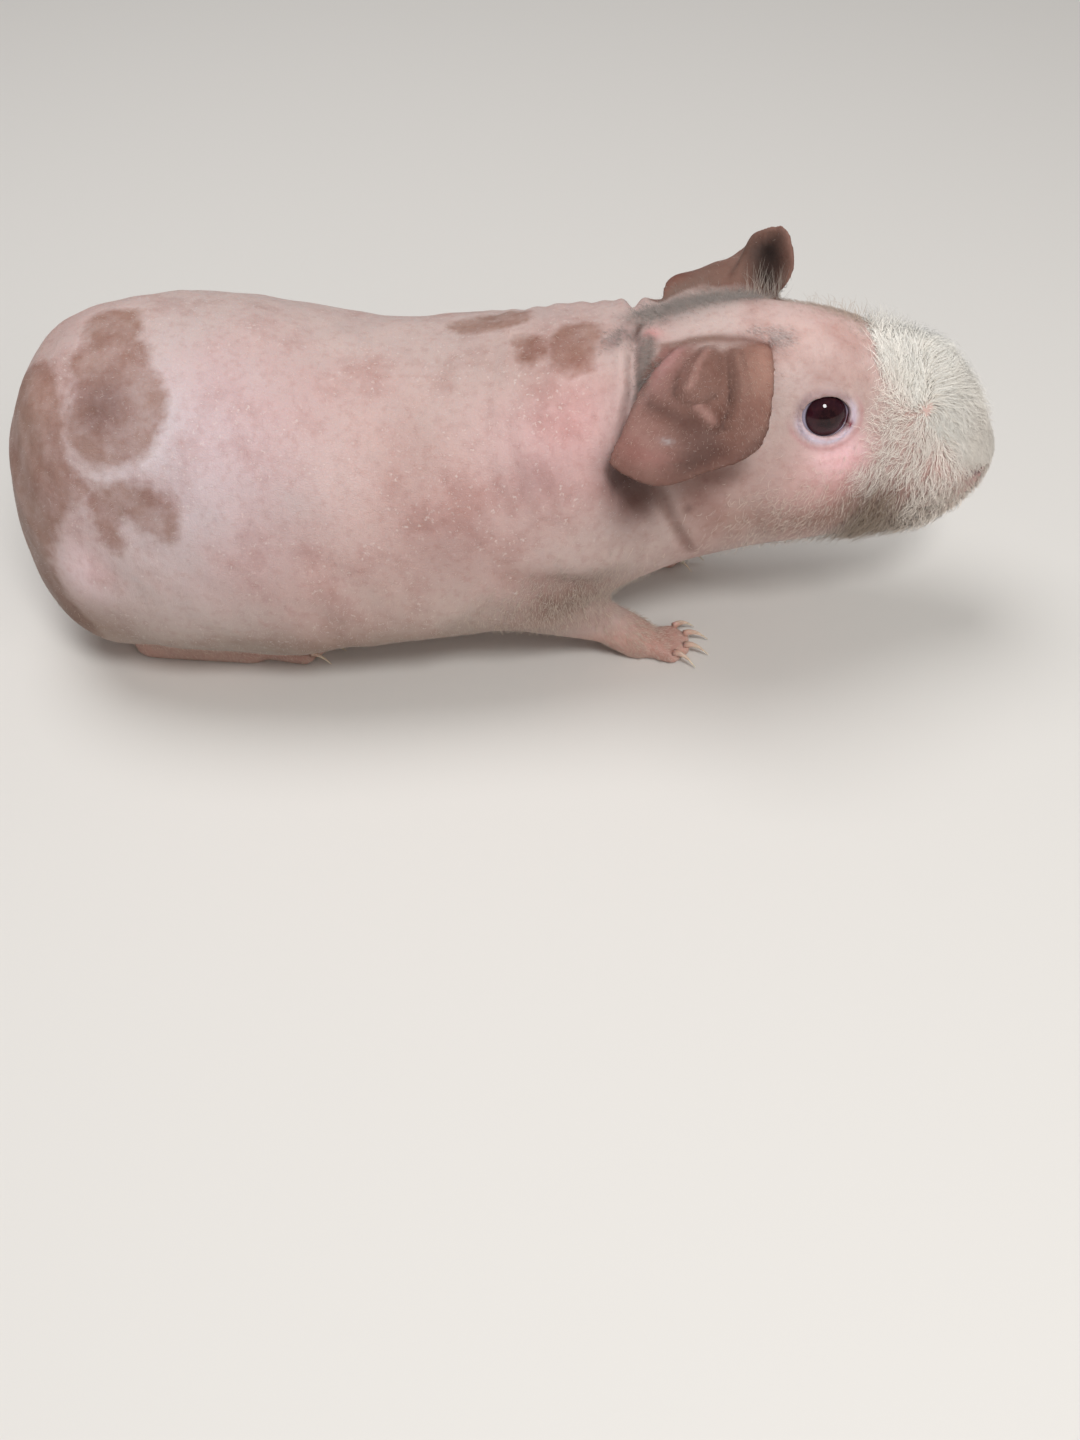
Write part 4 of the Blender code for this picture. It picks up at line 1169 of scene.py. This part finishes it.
def grow_strands(
    roots, normals, lie, length, rise, bend, ring_count, clump=None, clump_pull=0.0, slack=0.1, curl=0.0,
    turn=0.0,
):
    """
    Centre lines of strands that follow the lie of the coat, one row of places each. Each ends its rise above
    the skin, turns by its bend on the way, swings by its curl from the turn it starts at and, where there are
    clumps, is drawn to the middle of its clump.
    """
    lines = [roots - normals * COAT_ROOT_DEPTH]
    places, ups = roots, normals
    height = np.zeros(len(roots))
    step = length / (ring_count - 1)
    for ring in range(1, ring_count):
        share = ring / (ring_count - 1)
        swing = curl * np.sin(CURL_WAVES * 2 * math.pi * share + turn)
        flow = turned(along_skin(lie(places, ups), ups), ups, bend * (share - 0.5 / (ring_count - 1)) + swing)
        target = rise * math.sin(math.pi / 2 * share) + slack
        run = np.sqrt(np.maximum(step**2 - (target - height) ** 2, (0.12 * step) ** 2))
        places, ups = on_skin(places + flow * run[:, None])
        height = target
        lines.append(places + ups * height[:, None])
    lines = np.stack(lines, axis=1)
    if clump is not None:
        shares = np.linspace(0, 1, ring_count) ** 1.2
        lines += (lines[clump] - lines) * (clump_pull * shares)[None, :, None]
    return lines


def clumps_of(roots, size, rng):
    """For each root, the index of the root at the middle of its clump."""
    middles = rng.choice(len(roots), max(1, len(roots) // size), replace=False)
    tree = point_tree(roots[middles], middles)
    return np.array([tree.find(root)[1] for root in roots])


def unwrapped(points, centre, axis):
    """Each point on a flat unwrap of the skin round a centre, from 0 to 1, with the axis in its middle."""
    away = unit(points - np.array(centre, float))
    axis = np.array(axis, float)
    first = np.array((0, 0, 1.0)) if abs(axis[2]) < 0.5 else np.array((1.0, 0, 0))
    second = np.cross(axis, first)
    off_axis = np.arccos(np.clip(away @ axis, -1, 1)) / np.pi
    around = np.arctan2(away @ second, away @ first)
    return 0.4985 + 0.4985 * off_axis[:, None] * np.stack([np.cos(around), np.sin(around)], axis=1)


def strand_faces(rings):
    """The faces of one strand: a cap at its root, its sides, and its tip, as lists of its own points."""
    tip = (rings - 1) * STRAND_SIDES
    quads, ends = [], [(2, 1, 0)]
    for near in range(0, tip, STRAND_SIDES):
        for i in range(STRAND_SIDES):
            j = (i + 1) % STRAND_SIDES
            if near + STRAND_SIDES < tip:
                quads.append((near + i, near + j, near + STRAND_SIDES + j, near + STRAND_SIDES + i))
            else:
                ends.append((near + i, near + j, tip))
    return quads + ends


def make_coat(name, lines, ups, width, tints, places):
    """
    One mesh of tapered, three-sided strands, closed at both ends, from their centre lines in millimetres.
    Their shading normals lean to ups, the skin's own, so that the coat takes light as one soft surface.
    """
    count, rings = lines.shape[:2]
    tangents = unit(np.gradient(lines, axis=1))
    aside = unit(np.cross(tangents, np.array((0.31, 0.17, 0.94))))
    above = np.cross(tangents, aside)
    shares = np.linspace(0, 1, rings)
    radius = width[:, None] / 2 * (1 - (1 - TIP_WIDTH) * shares**1.3)
    ring_points = []
    for side in range(STRAND_SIDES):
        angle = 2 * math.pi * side / STRAND_SIDES
        ring_points.append(lines + (aside * math.cos(angle) + above * math.sin(angle)) * radius[:, :, None])
    tube = np.stack(ring_points, axis=2)[:, :-1].reshape(count, -1, 3)
    points = np.concatenate([tube, lines[:, -1:]], axis=1)
    axis_points = np.concatenate([np.repeat(lines[:, :-1], STRAND_SIDES, axis=1), lines[:, -1:]], axis=1)
    around = unit(points - axis_points)
    soft_normals = (around * (1 - SOFTNESS) + ups[:, None, :] * SOFTNESS).reshape(-1, 3)
    per_strand = points.shape[1]
    faces = strand_faces(rings)
    one_strand = np.array([corner for face in faces for corner in face])
    sizes = np.array([len(face) for face in faces])
    starts = np.concatenate([[0], np.cumsum(sizes)[:-1]])
    strands = np.arange(count)[:, None]
    corners = (one_strand[None, :] + strands * per_strand).ravel()
    starts = (starts[None, :] + strands * len(one_strand)).ravel()
    mesh = bpy.data.meshes.new(name)
    mesh.vertices.add(count * per_strand)
    mesh.loops.add(len(corners))
    mesh.polygons.add(len(starts))
    mesh.vertices.foreach_set("co", (points * MM).ravel())
    mesh.loops.foreach_set("vertex_index", corners)
    mesh.polygons.foreach_set("loop_start", starts)
    mesh.update(calc_edges=True)
    ring_share = np.append(np.repeat(shares[:-1], STRAND_SIDES), 1.0)
    side_share = np.append(np.tile(np.arange(STRAND_SIDES) / STRAND_SIDES, rings - 1), 0.5)
    set_values(mesh, "along", np.tile(ring_share, count))
    set_values(mesh, "tint", np.repeat(tints, per_strand, axis=0))
    patch = np.stack([side_share, ring_share], axis=1)[one_strand] * TUFT_PATCH
    uvs = (places[:, None, :] + patch[None, :, :]).reshape(-1, 2)
    mesh.uv_layers.new(name="OFBake").data.foreach_set("uv", uvs.astype(np.float32).ravel())
    mesh.materials.append(coat_material)
    mesh.shade_smooth()
    mesh.normals_split_custom_set_from_vertices(unit(soft_normals))
    coat = bpy.data.objects.new(name, mesh)
    bpy.context.scene.collection.objects.link(coat)
    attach(coat, "root")


def make_coat_material():
    """Fine hair: its own tint, darkened towards the root by painted shade in the depth of the coat,
    and clearer at the tips.
    """
    material, tree, shader = new_material("fine_hair", 0.65, IOR=1.45, Sheen_Weight=0.25, Sheen_Roughness=0.4)
    along = attribute(tree, "along")
    # Painted shade: the hair darker towards its root, deep in the coat.
    depth = ranged(tree, along, 0.0, 0.45, 0.25, 0.0)
    tint = attribute(tree, "tint", "Color")
    colour = mixed(tree, depth, tint, mixed(tree, 1.0, tint, "#b99f92", "MULTIPLY"))
    tree.links.new(colour, shader.inputs["Base Color"])
    return material


def nose_lie(points, normals):
    """Away from the whorl of the same side, swirled a little, forward on the bridge and down the front."""
    mirror = np.ones((len(points), 3))
    mirror[:, 1] = np.where(points[:, 1] > 0, 1.0, -1.0)
    out = unit(points - np.array(WHORL) * mirror)
    swirl = np.cross(normals, out) * mirror[:, 1:2]
    middle = bell(points[:, 1], 4) * smooth_step(points[:, 2], 62, 70)
    front = bell(points[:, 1], 4.5) * smooth_step(points[:, 0], 101, 108)
    flow = out * (1 - 0.6 * front)[:, None] + 0.3 * swirl + np.array((1.0, 0, 0.2)) * (0.55 * middle)[:, None]
    flow += np.array((0.3, 0, -1.0)) * (0.8 * front)[:, None]
    return turned(along_skin(flow, normals), normals, 0.55 * wander(points, 1.6))


def nose_density(side, points):
    """Where the dense coat of one side of the nose grows: thinner at the whorl and round the nostril."""
    own = smooth_step(points[:, 1] * side, -0.6, 0.6)
    thin = 1 - 0.9 * near_pair(points, WHORL, 2.0) - near_pair(points, NOSTRILS, 3.0)
    return own * dense_coat(points) * np.clip(thin, 0, 1)


def nose_samples(name, density, side):
    """The roots of one piece of the nose's coat, with their normals, tints and random source."""
    count, seed = NOSE_PIECES[name]
    return skin_samples(count, density, seed + (side < 0))


def make_nose_piece(name, side_name, roots, normals, lines, width, colours):
    places = unwrapped(roots, MUZZLE_MIDDLE, FORWARD)
    make_coat(f"{name}_{side_name}", lines, normals, width, colours, places)


def make_nose_coat(side_name):
    """The dense coat of one side of the nose: its fine outer hairs, a few of which stray beyond the rest."""
    side = SIDES[side_name]

    def density(points):
        return nose_density(side, points) * (1 + 1.2 * smooth_step(points[:, 0], 103, 111))

    roots, normals, tints, rng = nose_samples("nose_coat", density, side)
    count = len(roots)
    depth = coat_depth(roots + normals)
    front = smooth_step(roots[:, 0], 103, 111)
    stray = (rng.random(count) < 0.10) * rng.uniform(0.3, 1.8, count) * smooth_step(depth, 0.9, 2.2)
    length = (2.6 + 0.9 * depth - 0.7 * front) * rng.uniform(0.65, 1.15, count) + 1.5 * stray
    rise = np.minimum(depth * rng.uniform(0.5, 1.0, count) + 0.1 + stray, 0.94 * length)
    bend = rng.normal(0, 0.38, count)
    clump = clumps_of(roots, 9, rng)
    lines = grow_strands(roots, normals, nose_lie, length, rise, bend, 5, clump, 0.22)
    colours = blend_towards(tints, "#fffcf4", 0.97)
    colours = blend_towards(colours, "#f7eadd", 0.5 * front)
    colours *= rng.uniform(0.85, 1.03, count)[:, None]
    width = rng.uniform(0.09, 0.15, count) * (0.55 + 0.45 * dense_coat(roots))
    make_nose_piece("nose_coat", side_name, roots, normals, lines, width, colours)


def make_nose_down(side_name):
    """The soft down that fills the dense coat of one side of the nose below its outer hairs."""
    side = SIDES[side_name]
    roots, normals, tints, rng = nose_samples("nose_down", lambda points: nose_density(side, points), side)
    count = len(roots)
    depth = coat_depth(roots + normals)
    length = (1.7 + 0.7 * depth) * rng.uniform(0.8, 1.2, count)
    rise = np.minimum(depth * rng.uniform(0.3, 0.78, count) + 0.1, 0.9 * length)
    lines = grow_strands(roots, normals, nose_lie, length, rise, rng.normal(0, 0.5, count), 4)
    colours = blend_towards(tints, "#f6efe4", 0.95) * rng.uniform(0.86, 1.0, count)[:, None]
    width = rng.uniform(0.15, 0.22, count) * (0.45 + 0.55 * dense_coat(roots))
    make_nose_piece("nose_down", side_name, roots, normals, lines, width, colours)


def make_crest_wisps(side_name):
    """Loose, longer hairs that stand up from the crest of the nose."""
    side = SIDES[side_name]

    def density(points):
        x, y, z = points.T
        rear = smooth_step(x, 84.5, 88) * (1 - smooth_step(x, 91, 96)) * smooth_step(z, 62, 70)
        crest = smooth_step(z, 66, 76) * smooth_step(x, 88, 92) * (1 - smooth_step(x, 104, 110))
        front = smooth_step(x, 98, 104) * (1 - smooth_step(x, 112, 116)) * smooth_step(z, 56, 62)
        return smooth_step(y * side, -0.6, 0.6) * (0.8 * rear + crest + 2.2 * front * bell(y, 8))

    roots, normals, tints, rng = nose_samples("crest_wisps", density, side)
    count = len(roots)
    length = rng.uniform(3.4, 6.2, count) - 0.5 * smooth_step(roots[:, 0], 100, 106)
    rise = length * rng.uniform(0.6, 0.93, count)
    bend = rng.normal(0, 0.7, count)
    clump = clumps_of(roots, 3, rng)
    lines = grow_strands(roots, normals, nose_lie, length, rise, bend, 6, clump, 0.3, curl=0.3)
    colours = blend_towards(tints, "#fffaf0", 0.95)
    width = rng.uniform(0.07, 0.11, count)
    make_nose_piece("crest_wisps", side_name, roots, normals, lines, width, colours)


def make_cheek_curls(side_name):
    """Sparse, long and curly pale hairs below the whorl, over lip, jaw and the front of the cheek."""
    side = SIDES[side_name]

    def density(points):
        x, y, z = points.T
        own = smooth_step(y * side, -0.4, 1.0)
        rear = 84.5 + 5.0 * smooth_step(z, 56, 72) + 1.2 * np.sin(z * 0.55)
        cover = smooth_step(x - rear, -3.0, 3.5) * (1 - 0.85 * dense_coat(points))
        lips = np.exp(-(((x - 110) / 3.0) ** 2 + ((z - 45) / 3.5) ** 2))
        line_height = np.interp(x, *np.array(DENSE_LINE, float).T)
        cover *= 1 + 1.6 * bell(z - line_height + 1.5, 2.5)
        cover *= 1 - 0.85 * (1 - smooth_step(x, 95, 101)) * (1 - smooth_step(z, 47, 53))
        thin = 1 - 0.8 * lips - near_pair(points, NOSTRILS, 3.5) - 0.8 * near_pair(points, WHORL, 2.0)
        return own * cover * np.clip(thin, 0, 1)

    roots, normals, tints, rng = nose_samples("cheek_curls", density, side)
    count = len(roots)
    near_lip = smooth_step(roots[:, 0], 101, 109)
    low = 1 - smooth_step(roots[:, 2], 38, 50)
    length = (5.0 - 2.6 * near_lip + 1.2 * low) * rng.uniform(0.55, 1.3, count)
    rise = (1.5 - 0.7 * near_lip + 0.5 * low) * rng.uniform(0.3, 1.4, count)
    rise = np.minimum(rise, 0.8 * length)
    clump = clumps_of(roots, 4, rng)
    bend = rng.normal(0, 0.5, count) + 1.1 * rng.choice((-1, 1), count) * (rng.random(count) < 0.25)
    bend = 0.5 * bend[clump] + 0.5 * bend
    curl, turn = rng.uniform(0.1, 0.6, count), rng.uniform(0, 2 * math.pi, count)
    lines = grow_strands(roots, normals, nose_lie, length, rise, bend, 6, clump, 0.34, curl=curl, turn=turn)
    dark = (1 - smooth_step(roots[:, 0], 92, 99)) * (1 - smooth_step(roots[:, 2], 46, 54))
    colours = blend_towards(tints, "#fff6ec", 0.94)
    # Painted shade: hairs rooted low on the muzzle darker, each by a random share.
    colours = blend_towards(colours, "#c9b7a6", 0.7 * low * rng.random(count))
    colours = blend_towards(colours, "#8f7867", dark * rng.uniform(0.4, 1.0, count))
    width = rng.uniform(0.09, 0.15, count) * (0.6 + 0.4 * smooth_step(roots[:, 0], 85, 93))
    make_nose_piece("cheek_curls", side_name, roots, normals, lines, width, colours)


def make_muzzle_underfur(side_name):
    """Very short hair close to the skin all over the muzzle, lips and chin."""
    side = SIDES[side_name]

    def density(points):
        x, y, z = points.T
        own = smooth_step(y * side, -0.4, 0.8)
        low = 1 - smooth_step(z, 40, 47)
        front = smooth_step(x, 103, 109) * (1 - dense_coat(points))
        thin = np.clip(1 - near_pair(points, NOSTRILS, 3.0), 0, 1)
        return own * smooth_step(x, 84, 94) * (0.12 + low + front) * thin

    roots, normals, tints, rng = nose_samples("muzzle_underfur", density, side)
    count = len(roots)
    length = rng.uniform(1.2, 2.2, count)
    lines = grow_strands(roots, normals, nose_lie, length, 0.45 * length, rng.normal(0, 0.5, count), 4)
    colours = blend_towards(tints, "#e9dccd", 0.6)
    width = rng.uniform(0.10, 0.16, count)
    make_nose_piece("muzzle_underfur", side_name, roots, normals, lines, width, colours)


def body_lie(points, normals):
    """Backward along the body and down its sides, down the limbs, and forward on the feet."""
    on_foot = 1 - smooth_step(points[:, 2], 6, 13)
    on_body = smooth_step(points[:, 2], 22, 40)
    lie = np.stack([on_foot * 1.3 - on_body, 0 * on_body, -0.45 - 0.6 * (1 - on_body)], axis=1)
    return unit(lie)


def ear_lie(points, normals):
    """Outward from the roots of the ears."""
    return unit(points - np.array((53.0, 0, 76.0)) + np.array((0, 0, 2.0)))


# Short and sparse hair away from the nose: count, range of length and of width, share of the length that
# stands up, bend, colour and how far it covers the skin's, and where it grows: centre, radii and weight. What
# is usual comes first: slot, lie, whether both sides have it, and how many places each strand has.
FUZZ_USUAL = dict(slot="skin", lie=body_lie, mirrored=True, rings=4)
FUZZ = {
    "ear_base": dict(
        count=3600, length=(0.7, 1.5), width=(0.06, 0.10), stand=0.5, bend=0.9, colour="#8c847e", cover=0.8,
        lie=ear_lie, mirrored=False,
        places=(
            ((37.5, 1.0, 82.3), (3.5, 3, 3), 0.9), ((43.0, 4.0, 82.4), (4, 3, 3), 1.0),
            ((50.0, 7.0, 82.1), (4.5, 3, 3), 1.0), ((58.0, 9.5, 81.9), (5, 2.2, 3), 0.8),
            ((65.0, 10.2, 81.7), (3.0, 1.6, 3), 0.5), ((36.8, -12.0, 79.6), (1.8, 5, 4), 0.8),
            ((35.6, -18.0, 76.0), (1.6, 4, 4), 0.6), ((30.7, -7.0, 81.2), (3.0, 2.5, 3), 0.5),
        ),
    ),
    "forehead": dict(
        count=1300, length=(0.7, 1.8), width=(0.05, 0.09), stand=0.35, bend=1.0, colour="#b09a88", cover=0.7,
        mirrored=False,
        places=(
            ((85.0, 4.5, 78.0), (4, 5, 4), 1.0), ((79.0, 6.5, 80.0), (5, 4, 4), 0.9),
            ((71.0, 8.0, 81.0), (6, 4, 4), 0.4), ((84.0, -4.0, 78.5), (3, 4, 3), 0.15),
        ),
    ),
    "forehead_curl": dict(
        count=70, length=(2.5, 5.5), width=(0.05, 0.08), stand=0.75, bend=2.4, colour="#c2ad98", cover=0.9,
        mirrored=False, rings=6,
        places=(((83.0, 5.0, 78.5), (4, 3, 4), 1.0), ((76.0, 7.5, 80.5), (4, 3, 3), 0.4)),
    ),
    "ear_front_spot": dict(
        count=560, length=(0.8, 1.9), width=(0.05, 0.08), stand=0.35, bend=1.0, colour="#c9bdba", cover=0.6,
        lie=ear_lie, mirrored=False,
        places=(((65.0, -7.8, 81.6), (2.6, 2.0, 3), 1.0), ((60.5, -6.5, 82.2), (2.5, 1.3, 2), 0.5)),
    ),
    "near_ear": dict(
        slot="ear_skin", count=2600, length=(0.5, 1.3), width=(0.04, 0.07), stand=0.2, bend=0.4,
        colour="#cdb3a5", cover=0.7, lie=ear_lie, mirrored=False,
        places=(
            ((58.0, -26, 76), (7, 14, 8), 1.0), ((44.0, -22, 80), (8, 10, 8), 0.5),
            ((38, -30, 74), (8, 8, 8), 0.3),
        ),
    ),
    "cheek": dict(
        count=1100, length=(1.2, 3.4), width=(0.05, 0.10), stand=0.4, bend=1.9, colour="#ecdccf", cover=0.92,
        places=(
            ((76.0, 23.5, 49.0), (9, 6, 7), 1.0), ((66.0, 24.5, 46.0), (9, 6, 7), 0.7),
            ((85.0, 20.0, 55.0), (5, 5, 8), 0.5), ((70.0, 20.0, 36.0), (18, 9, 6), 0.7),
        ),
    ),
    "jaw": dict(
        count=1300, length=(2.2, 5.5), width=(0.06, 0.13), stand=0.4, bend=0.9, colour="#b09d8a", cover=0.85,
        places=(((88.0, 16.0, 40.0), (6, 6, 8), 1.0), ((95.0, 10.0, 31.0), (11, 8, 6), 0.8)),
    ),
    "arm": dict(
        count=2700, length=(0.9, 2.3), width=(0.06, 0.10), stand=0.45, bend=0.8, colour="#cfbeae", cover=0.85,
        places=(
            ((22.0, 33.0, 28.0), (12, 8, 8), 1.0), ((32.0, 26.0, 18.0), (7, 8, 8), 1.0),
            ((8.0, 36.0, 28.0), (10, 8, 9), 0.4), ((36.0, 22.0, 9.0), (6, 7, 5), 1.0),
        ),
    ),
    "foot": dict(
        slot="foot_skin", count=2800, length=(0.6, 1.4), width=(0.06, 0.10), stand=0.3, bend=0.5,
        colour="#e8d9ca", cover=0.85,
        places=(((38.0, 20.0, 5.0), (10, 9, 5), 1.0), ((-60.0, 28.0, 5.0), (26, 12, 7), 0.8)),
    ),
    "body": dict(
        count=5200, length=(0.6, 1.3), width=(0.04, 0.06), stand=0.3, bend=0.9, colour="#e9dcd3", cover=0.6,
        rings=3,
        places=(((-30.0, 30.0, 40.0), (150, 60, 60), 0.5), ((-40.0, 40.0, 35.0), (30, 14, 16), 1.0)),
    ),
}


def make_fuzz(name, fuzz, side_name, seed):
    """One piece of short or sparse hair, on one side where the piece is mirrored."""
    side = SIDES[side_name]
    mirrored = fuzz["mirrored"]

    def density(points):
        weight = np.zeros(len(points))
        for centre, radii, share in fuzz["places"]:
            place = np.array(centre) * ((1, side, 1) if mirrored else (1, 1, 1))
            weight += share * bump_at(points, place, radii)
        own = smooth_step(points[:, 1] * side, -0.5, 0.5) if mirrored else 1
        at_eyes = sum(bump_at(points, eye_centre(eye), (8, 8, 8)) for eye in SIDES)
        return own * weight * np.clip(1 - 2 * at_eyes, 0, 1) * (points[:, 2] > 0.8)

    roots, normals, tints, rng = skin_samples(fuzz["count"], density, seed)
    count = len(roots)
    length = rng.uniform(*fuzz["length"], count)
    rise = length * fuzz["stand"] * rng.uniform(0.5, 1.3, count)
    rise = np.minimum(rise, 0.92 * length)
    bend = rng.normal(0, fuzz["bend"], count)
    lines = grow_strands(roots, normals, fuzz["lie"], length, rise, bend, fuzz["rings"], slack=0.05)
    lines[:, :, 2] = np.maximum(lines[:, :, 2], 0.15)
    colours = blend_towards(tints, fuzz["colour"], fuzz["cover"])
    colours = colours * rng.uniform(0.85, 1.1, count)[:, None]
    width = rng.uniform(*fuzz["width"], count)
    piece_name = f"{name}_hair_{side_name}" if mirrored else f"{name}_hair"
    outward = (0, side, 0) if mirrored else (0, 0, 1)
    places = unwrapped(roots, np.average(roots, axis=0) * (1, 0.3, 1), outward)
    make_coat(piece_name, lines, normals, width, colours, places)


def make_far_ear_hairs():
    """Long, fine, pale hairs that rise in front of the dark inside of the raised ear."""
    count = FAR_EAR_HAIRS
    rng = np.random.default_rng(FAR_EAR_SEED)
    share = rng.random(count)
    starts = curve_points(FAR_EAR_HAIR_LINE, share) + rng.normal(0, 0.5, (count, 3)) * (1, 1, 0)
    roots, normals = on_skin(starts)
    length = rng.uniform(3.5, 9.5, count) * (1 - 0.35 * share)
    heading = unit(rng.normal(0, 0.2, (count, 3)) + (0.0, 0.15, 1.0))[:, None, :]
    sideways = (rng.normal(0, 0.13, (count, 3)) + (0.05, 0.0, 0))[:, None, :]
    steps = np.linspace(0, 1, 7)[None, :, None]
    lines = roots[:, None, :] + (heading * steps + sideways * steps**2) * length[:, None, None]
    colours = np.array(linear("#c4b8ac")[:3]) * rng.uniform(0.35, 1.0, count)[:, None]
    width = rng.uniform(0.04, 0.07, count)
    places = unwrapped(roots, roots.mean(axis=0) - (0, 0, 3), (0, 0, 1))
    make_coat("far_ear_hair", lines, unit(normals + (0, -1, 0)), width, colours, places)


# Stage


def make_stage():
    """A pale floor, a dim even room, the window above, a soft lamp in front and one for the glints."""
    bpy.ops.object.select_all(action="DESELECT")
    bpy.ops.mesh.primitive_plane_add(size=8)
    floor = bpy.context.object
    floor.name = "floor"
    material, _, shader = new_material("pale_floor", 0.75)
    shader.inputs["Base Color"].default_value = linear("#d9d6d1")
    floor.data.materials.append(material)
    world = bpy.data.worlds.new("soft_room")
    world.use_nodes = True
    world.node_tree.nodes["Background"].inputs["Color"].default_value = linear("#eae8e6")
    world.node_tree.nodes["Background"].inputs["Strength"].default_value = 0.27
    bpy.context.scene.world = world
    for name, place, target, size, power, colour in (
        ("window_light", (-0.25, 0.15, 1.0), (0, 0, 0.05), 0.7, 5.9, "#fdfdff"),
        ("front_light", (0.60, -0.68, 0.66), (0.04, 0, 0.04), 0.6, 2.5, "#fffcf8"),
        ("catch_light", (0.18, -0.51, 0.71), (0.03, -0.02, 0.06), 0.2, 3.3, "#ffffff"),
    ):
        data = bpy.data.lights.new(name, "AREA")
        data.shape = "DISK"
        data.size = size
        data.energy = power
        data.color = linear(colour)[:3]
        lamp = bpy.data.objects.new(name, data)
        lamp.location = place
        lamp.visible_glossy = name == "catch_light"
        lamp.rotation_euler = (Vector(target) - Vector(place)).to_track_quat("-Z", "Y").to_euler()
        bpy.context.scene.collection.objects.link(lamp)


def make_camera():
    data = bpy.data.cameras.new("photo_camera")
    data.sensor_fit = "VERTICAL"
    data.sensor_height = CAMERA_SENSOR
    data.lens = CAMERA_LENS
    data.clip_start = 0.01
    camera = bpy.data.objects.new("photo_camera", data)
    camera.location = CAMERA_PLACE
    camera.rotation_euler = Euler([math.radians(angle) for angle in CAMERA_TURN])
    bpy.context.scene.collection.objects.link(camera)
    bpy.context.scene.camera = camera


def settle_on_part():
    """Moves every piece from the animal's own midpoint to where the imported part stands."""
    move = Matrix.Translation(PART_SHIFT * MM)
    for obj in bpy.context.scene.objects:
        if obj.type == "MESH" and obj.name != "floor" and obj.name not in frame["nodes"]:
            obj.data.transform(move)
        elif obj.type in ("CAMERA", "LIGHT"):
            obj.location += PART_SHIFT * MM


bpy.context.scene.view_settings.view_transform = "Standard"
make_camera()
make_stage()
skin_material = make_skin_material()
eye_material = make_eye_material()
claw_material = make_claw_material()
coat_material = make_coat_material()

skin = make_skin()
skin_points = mesh_points(skin.data)
ears = ear_coordinates(skin_points)
skin_normals = mesh_normals(skin.data)
skin_tints = skin_tint(skin_points, ears)
set_values(skin.data, "tint", skin_tints)
set_values(skin.data, "patch", patch_depth(skin_points) * (1 - ears[0]) - FAR_OUTSIDE * ears[0])
set_values(skin.data, "on_ear", ears[0])
dry = (1 - ears[0]) * (1 - smooth_step(skin_points[:, 0], 20, 32)) * smooth_step(skin_points[:, 2], 12, 24)
set_values(skin.data, "dry", dry)
skin.data.materials.append(skin_material)
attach(skin, "root")
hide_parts(*flesh_nodes(), "ear_left", "ear_right")

skin_faces = [tuple(face.vertices) for face in skin.data.polygons]
skin_tree = BVHTree.FromPolygons([tuple(point) for point in skin_points], skin_faces)
for side_name in SIDES:
    make_eye(side_name)
    make_nose_coat(side_name)
    make_nose_down(side_name)
    make_crest_wisps(side_name)
    make_cheek_curls(side_name)
    make_muzzle_underfur(side_name)
for order, (fuzz_name, own_values) in enumerate(FUZZ.items()):
    fuzz = {**FUZZ_USUAL, **own_values}
    for side_name in SIDES if fuzz["mirrored"] else ("right",):
        make_fuzz(fuzz_name, fuzz, side_name, FUZZ_SEED + 2 * order + (side_name == "left"))
make_far_ear_hairs()
for name in sorted(frame["nodes"]):
    if "claw" in name:
        make_claw(name)
settle_on_part()
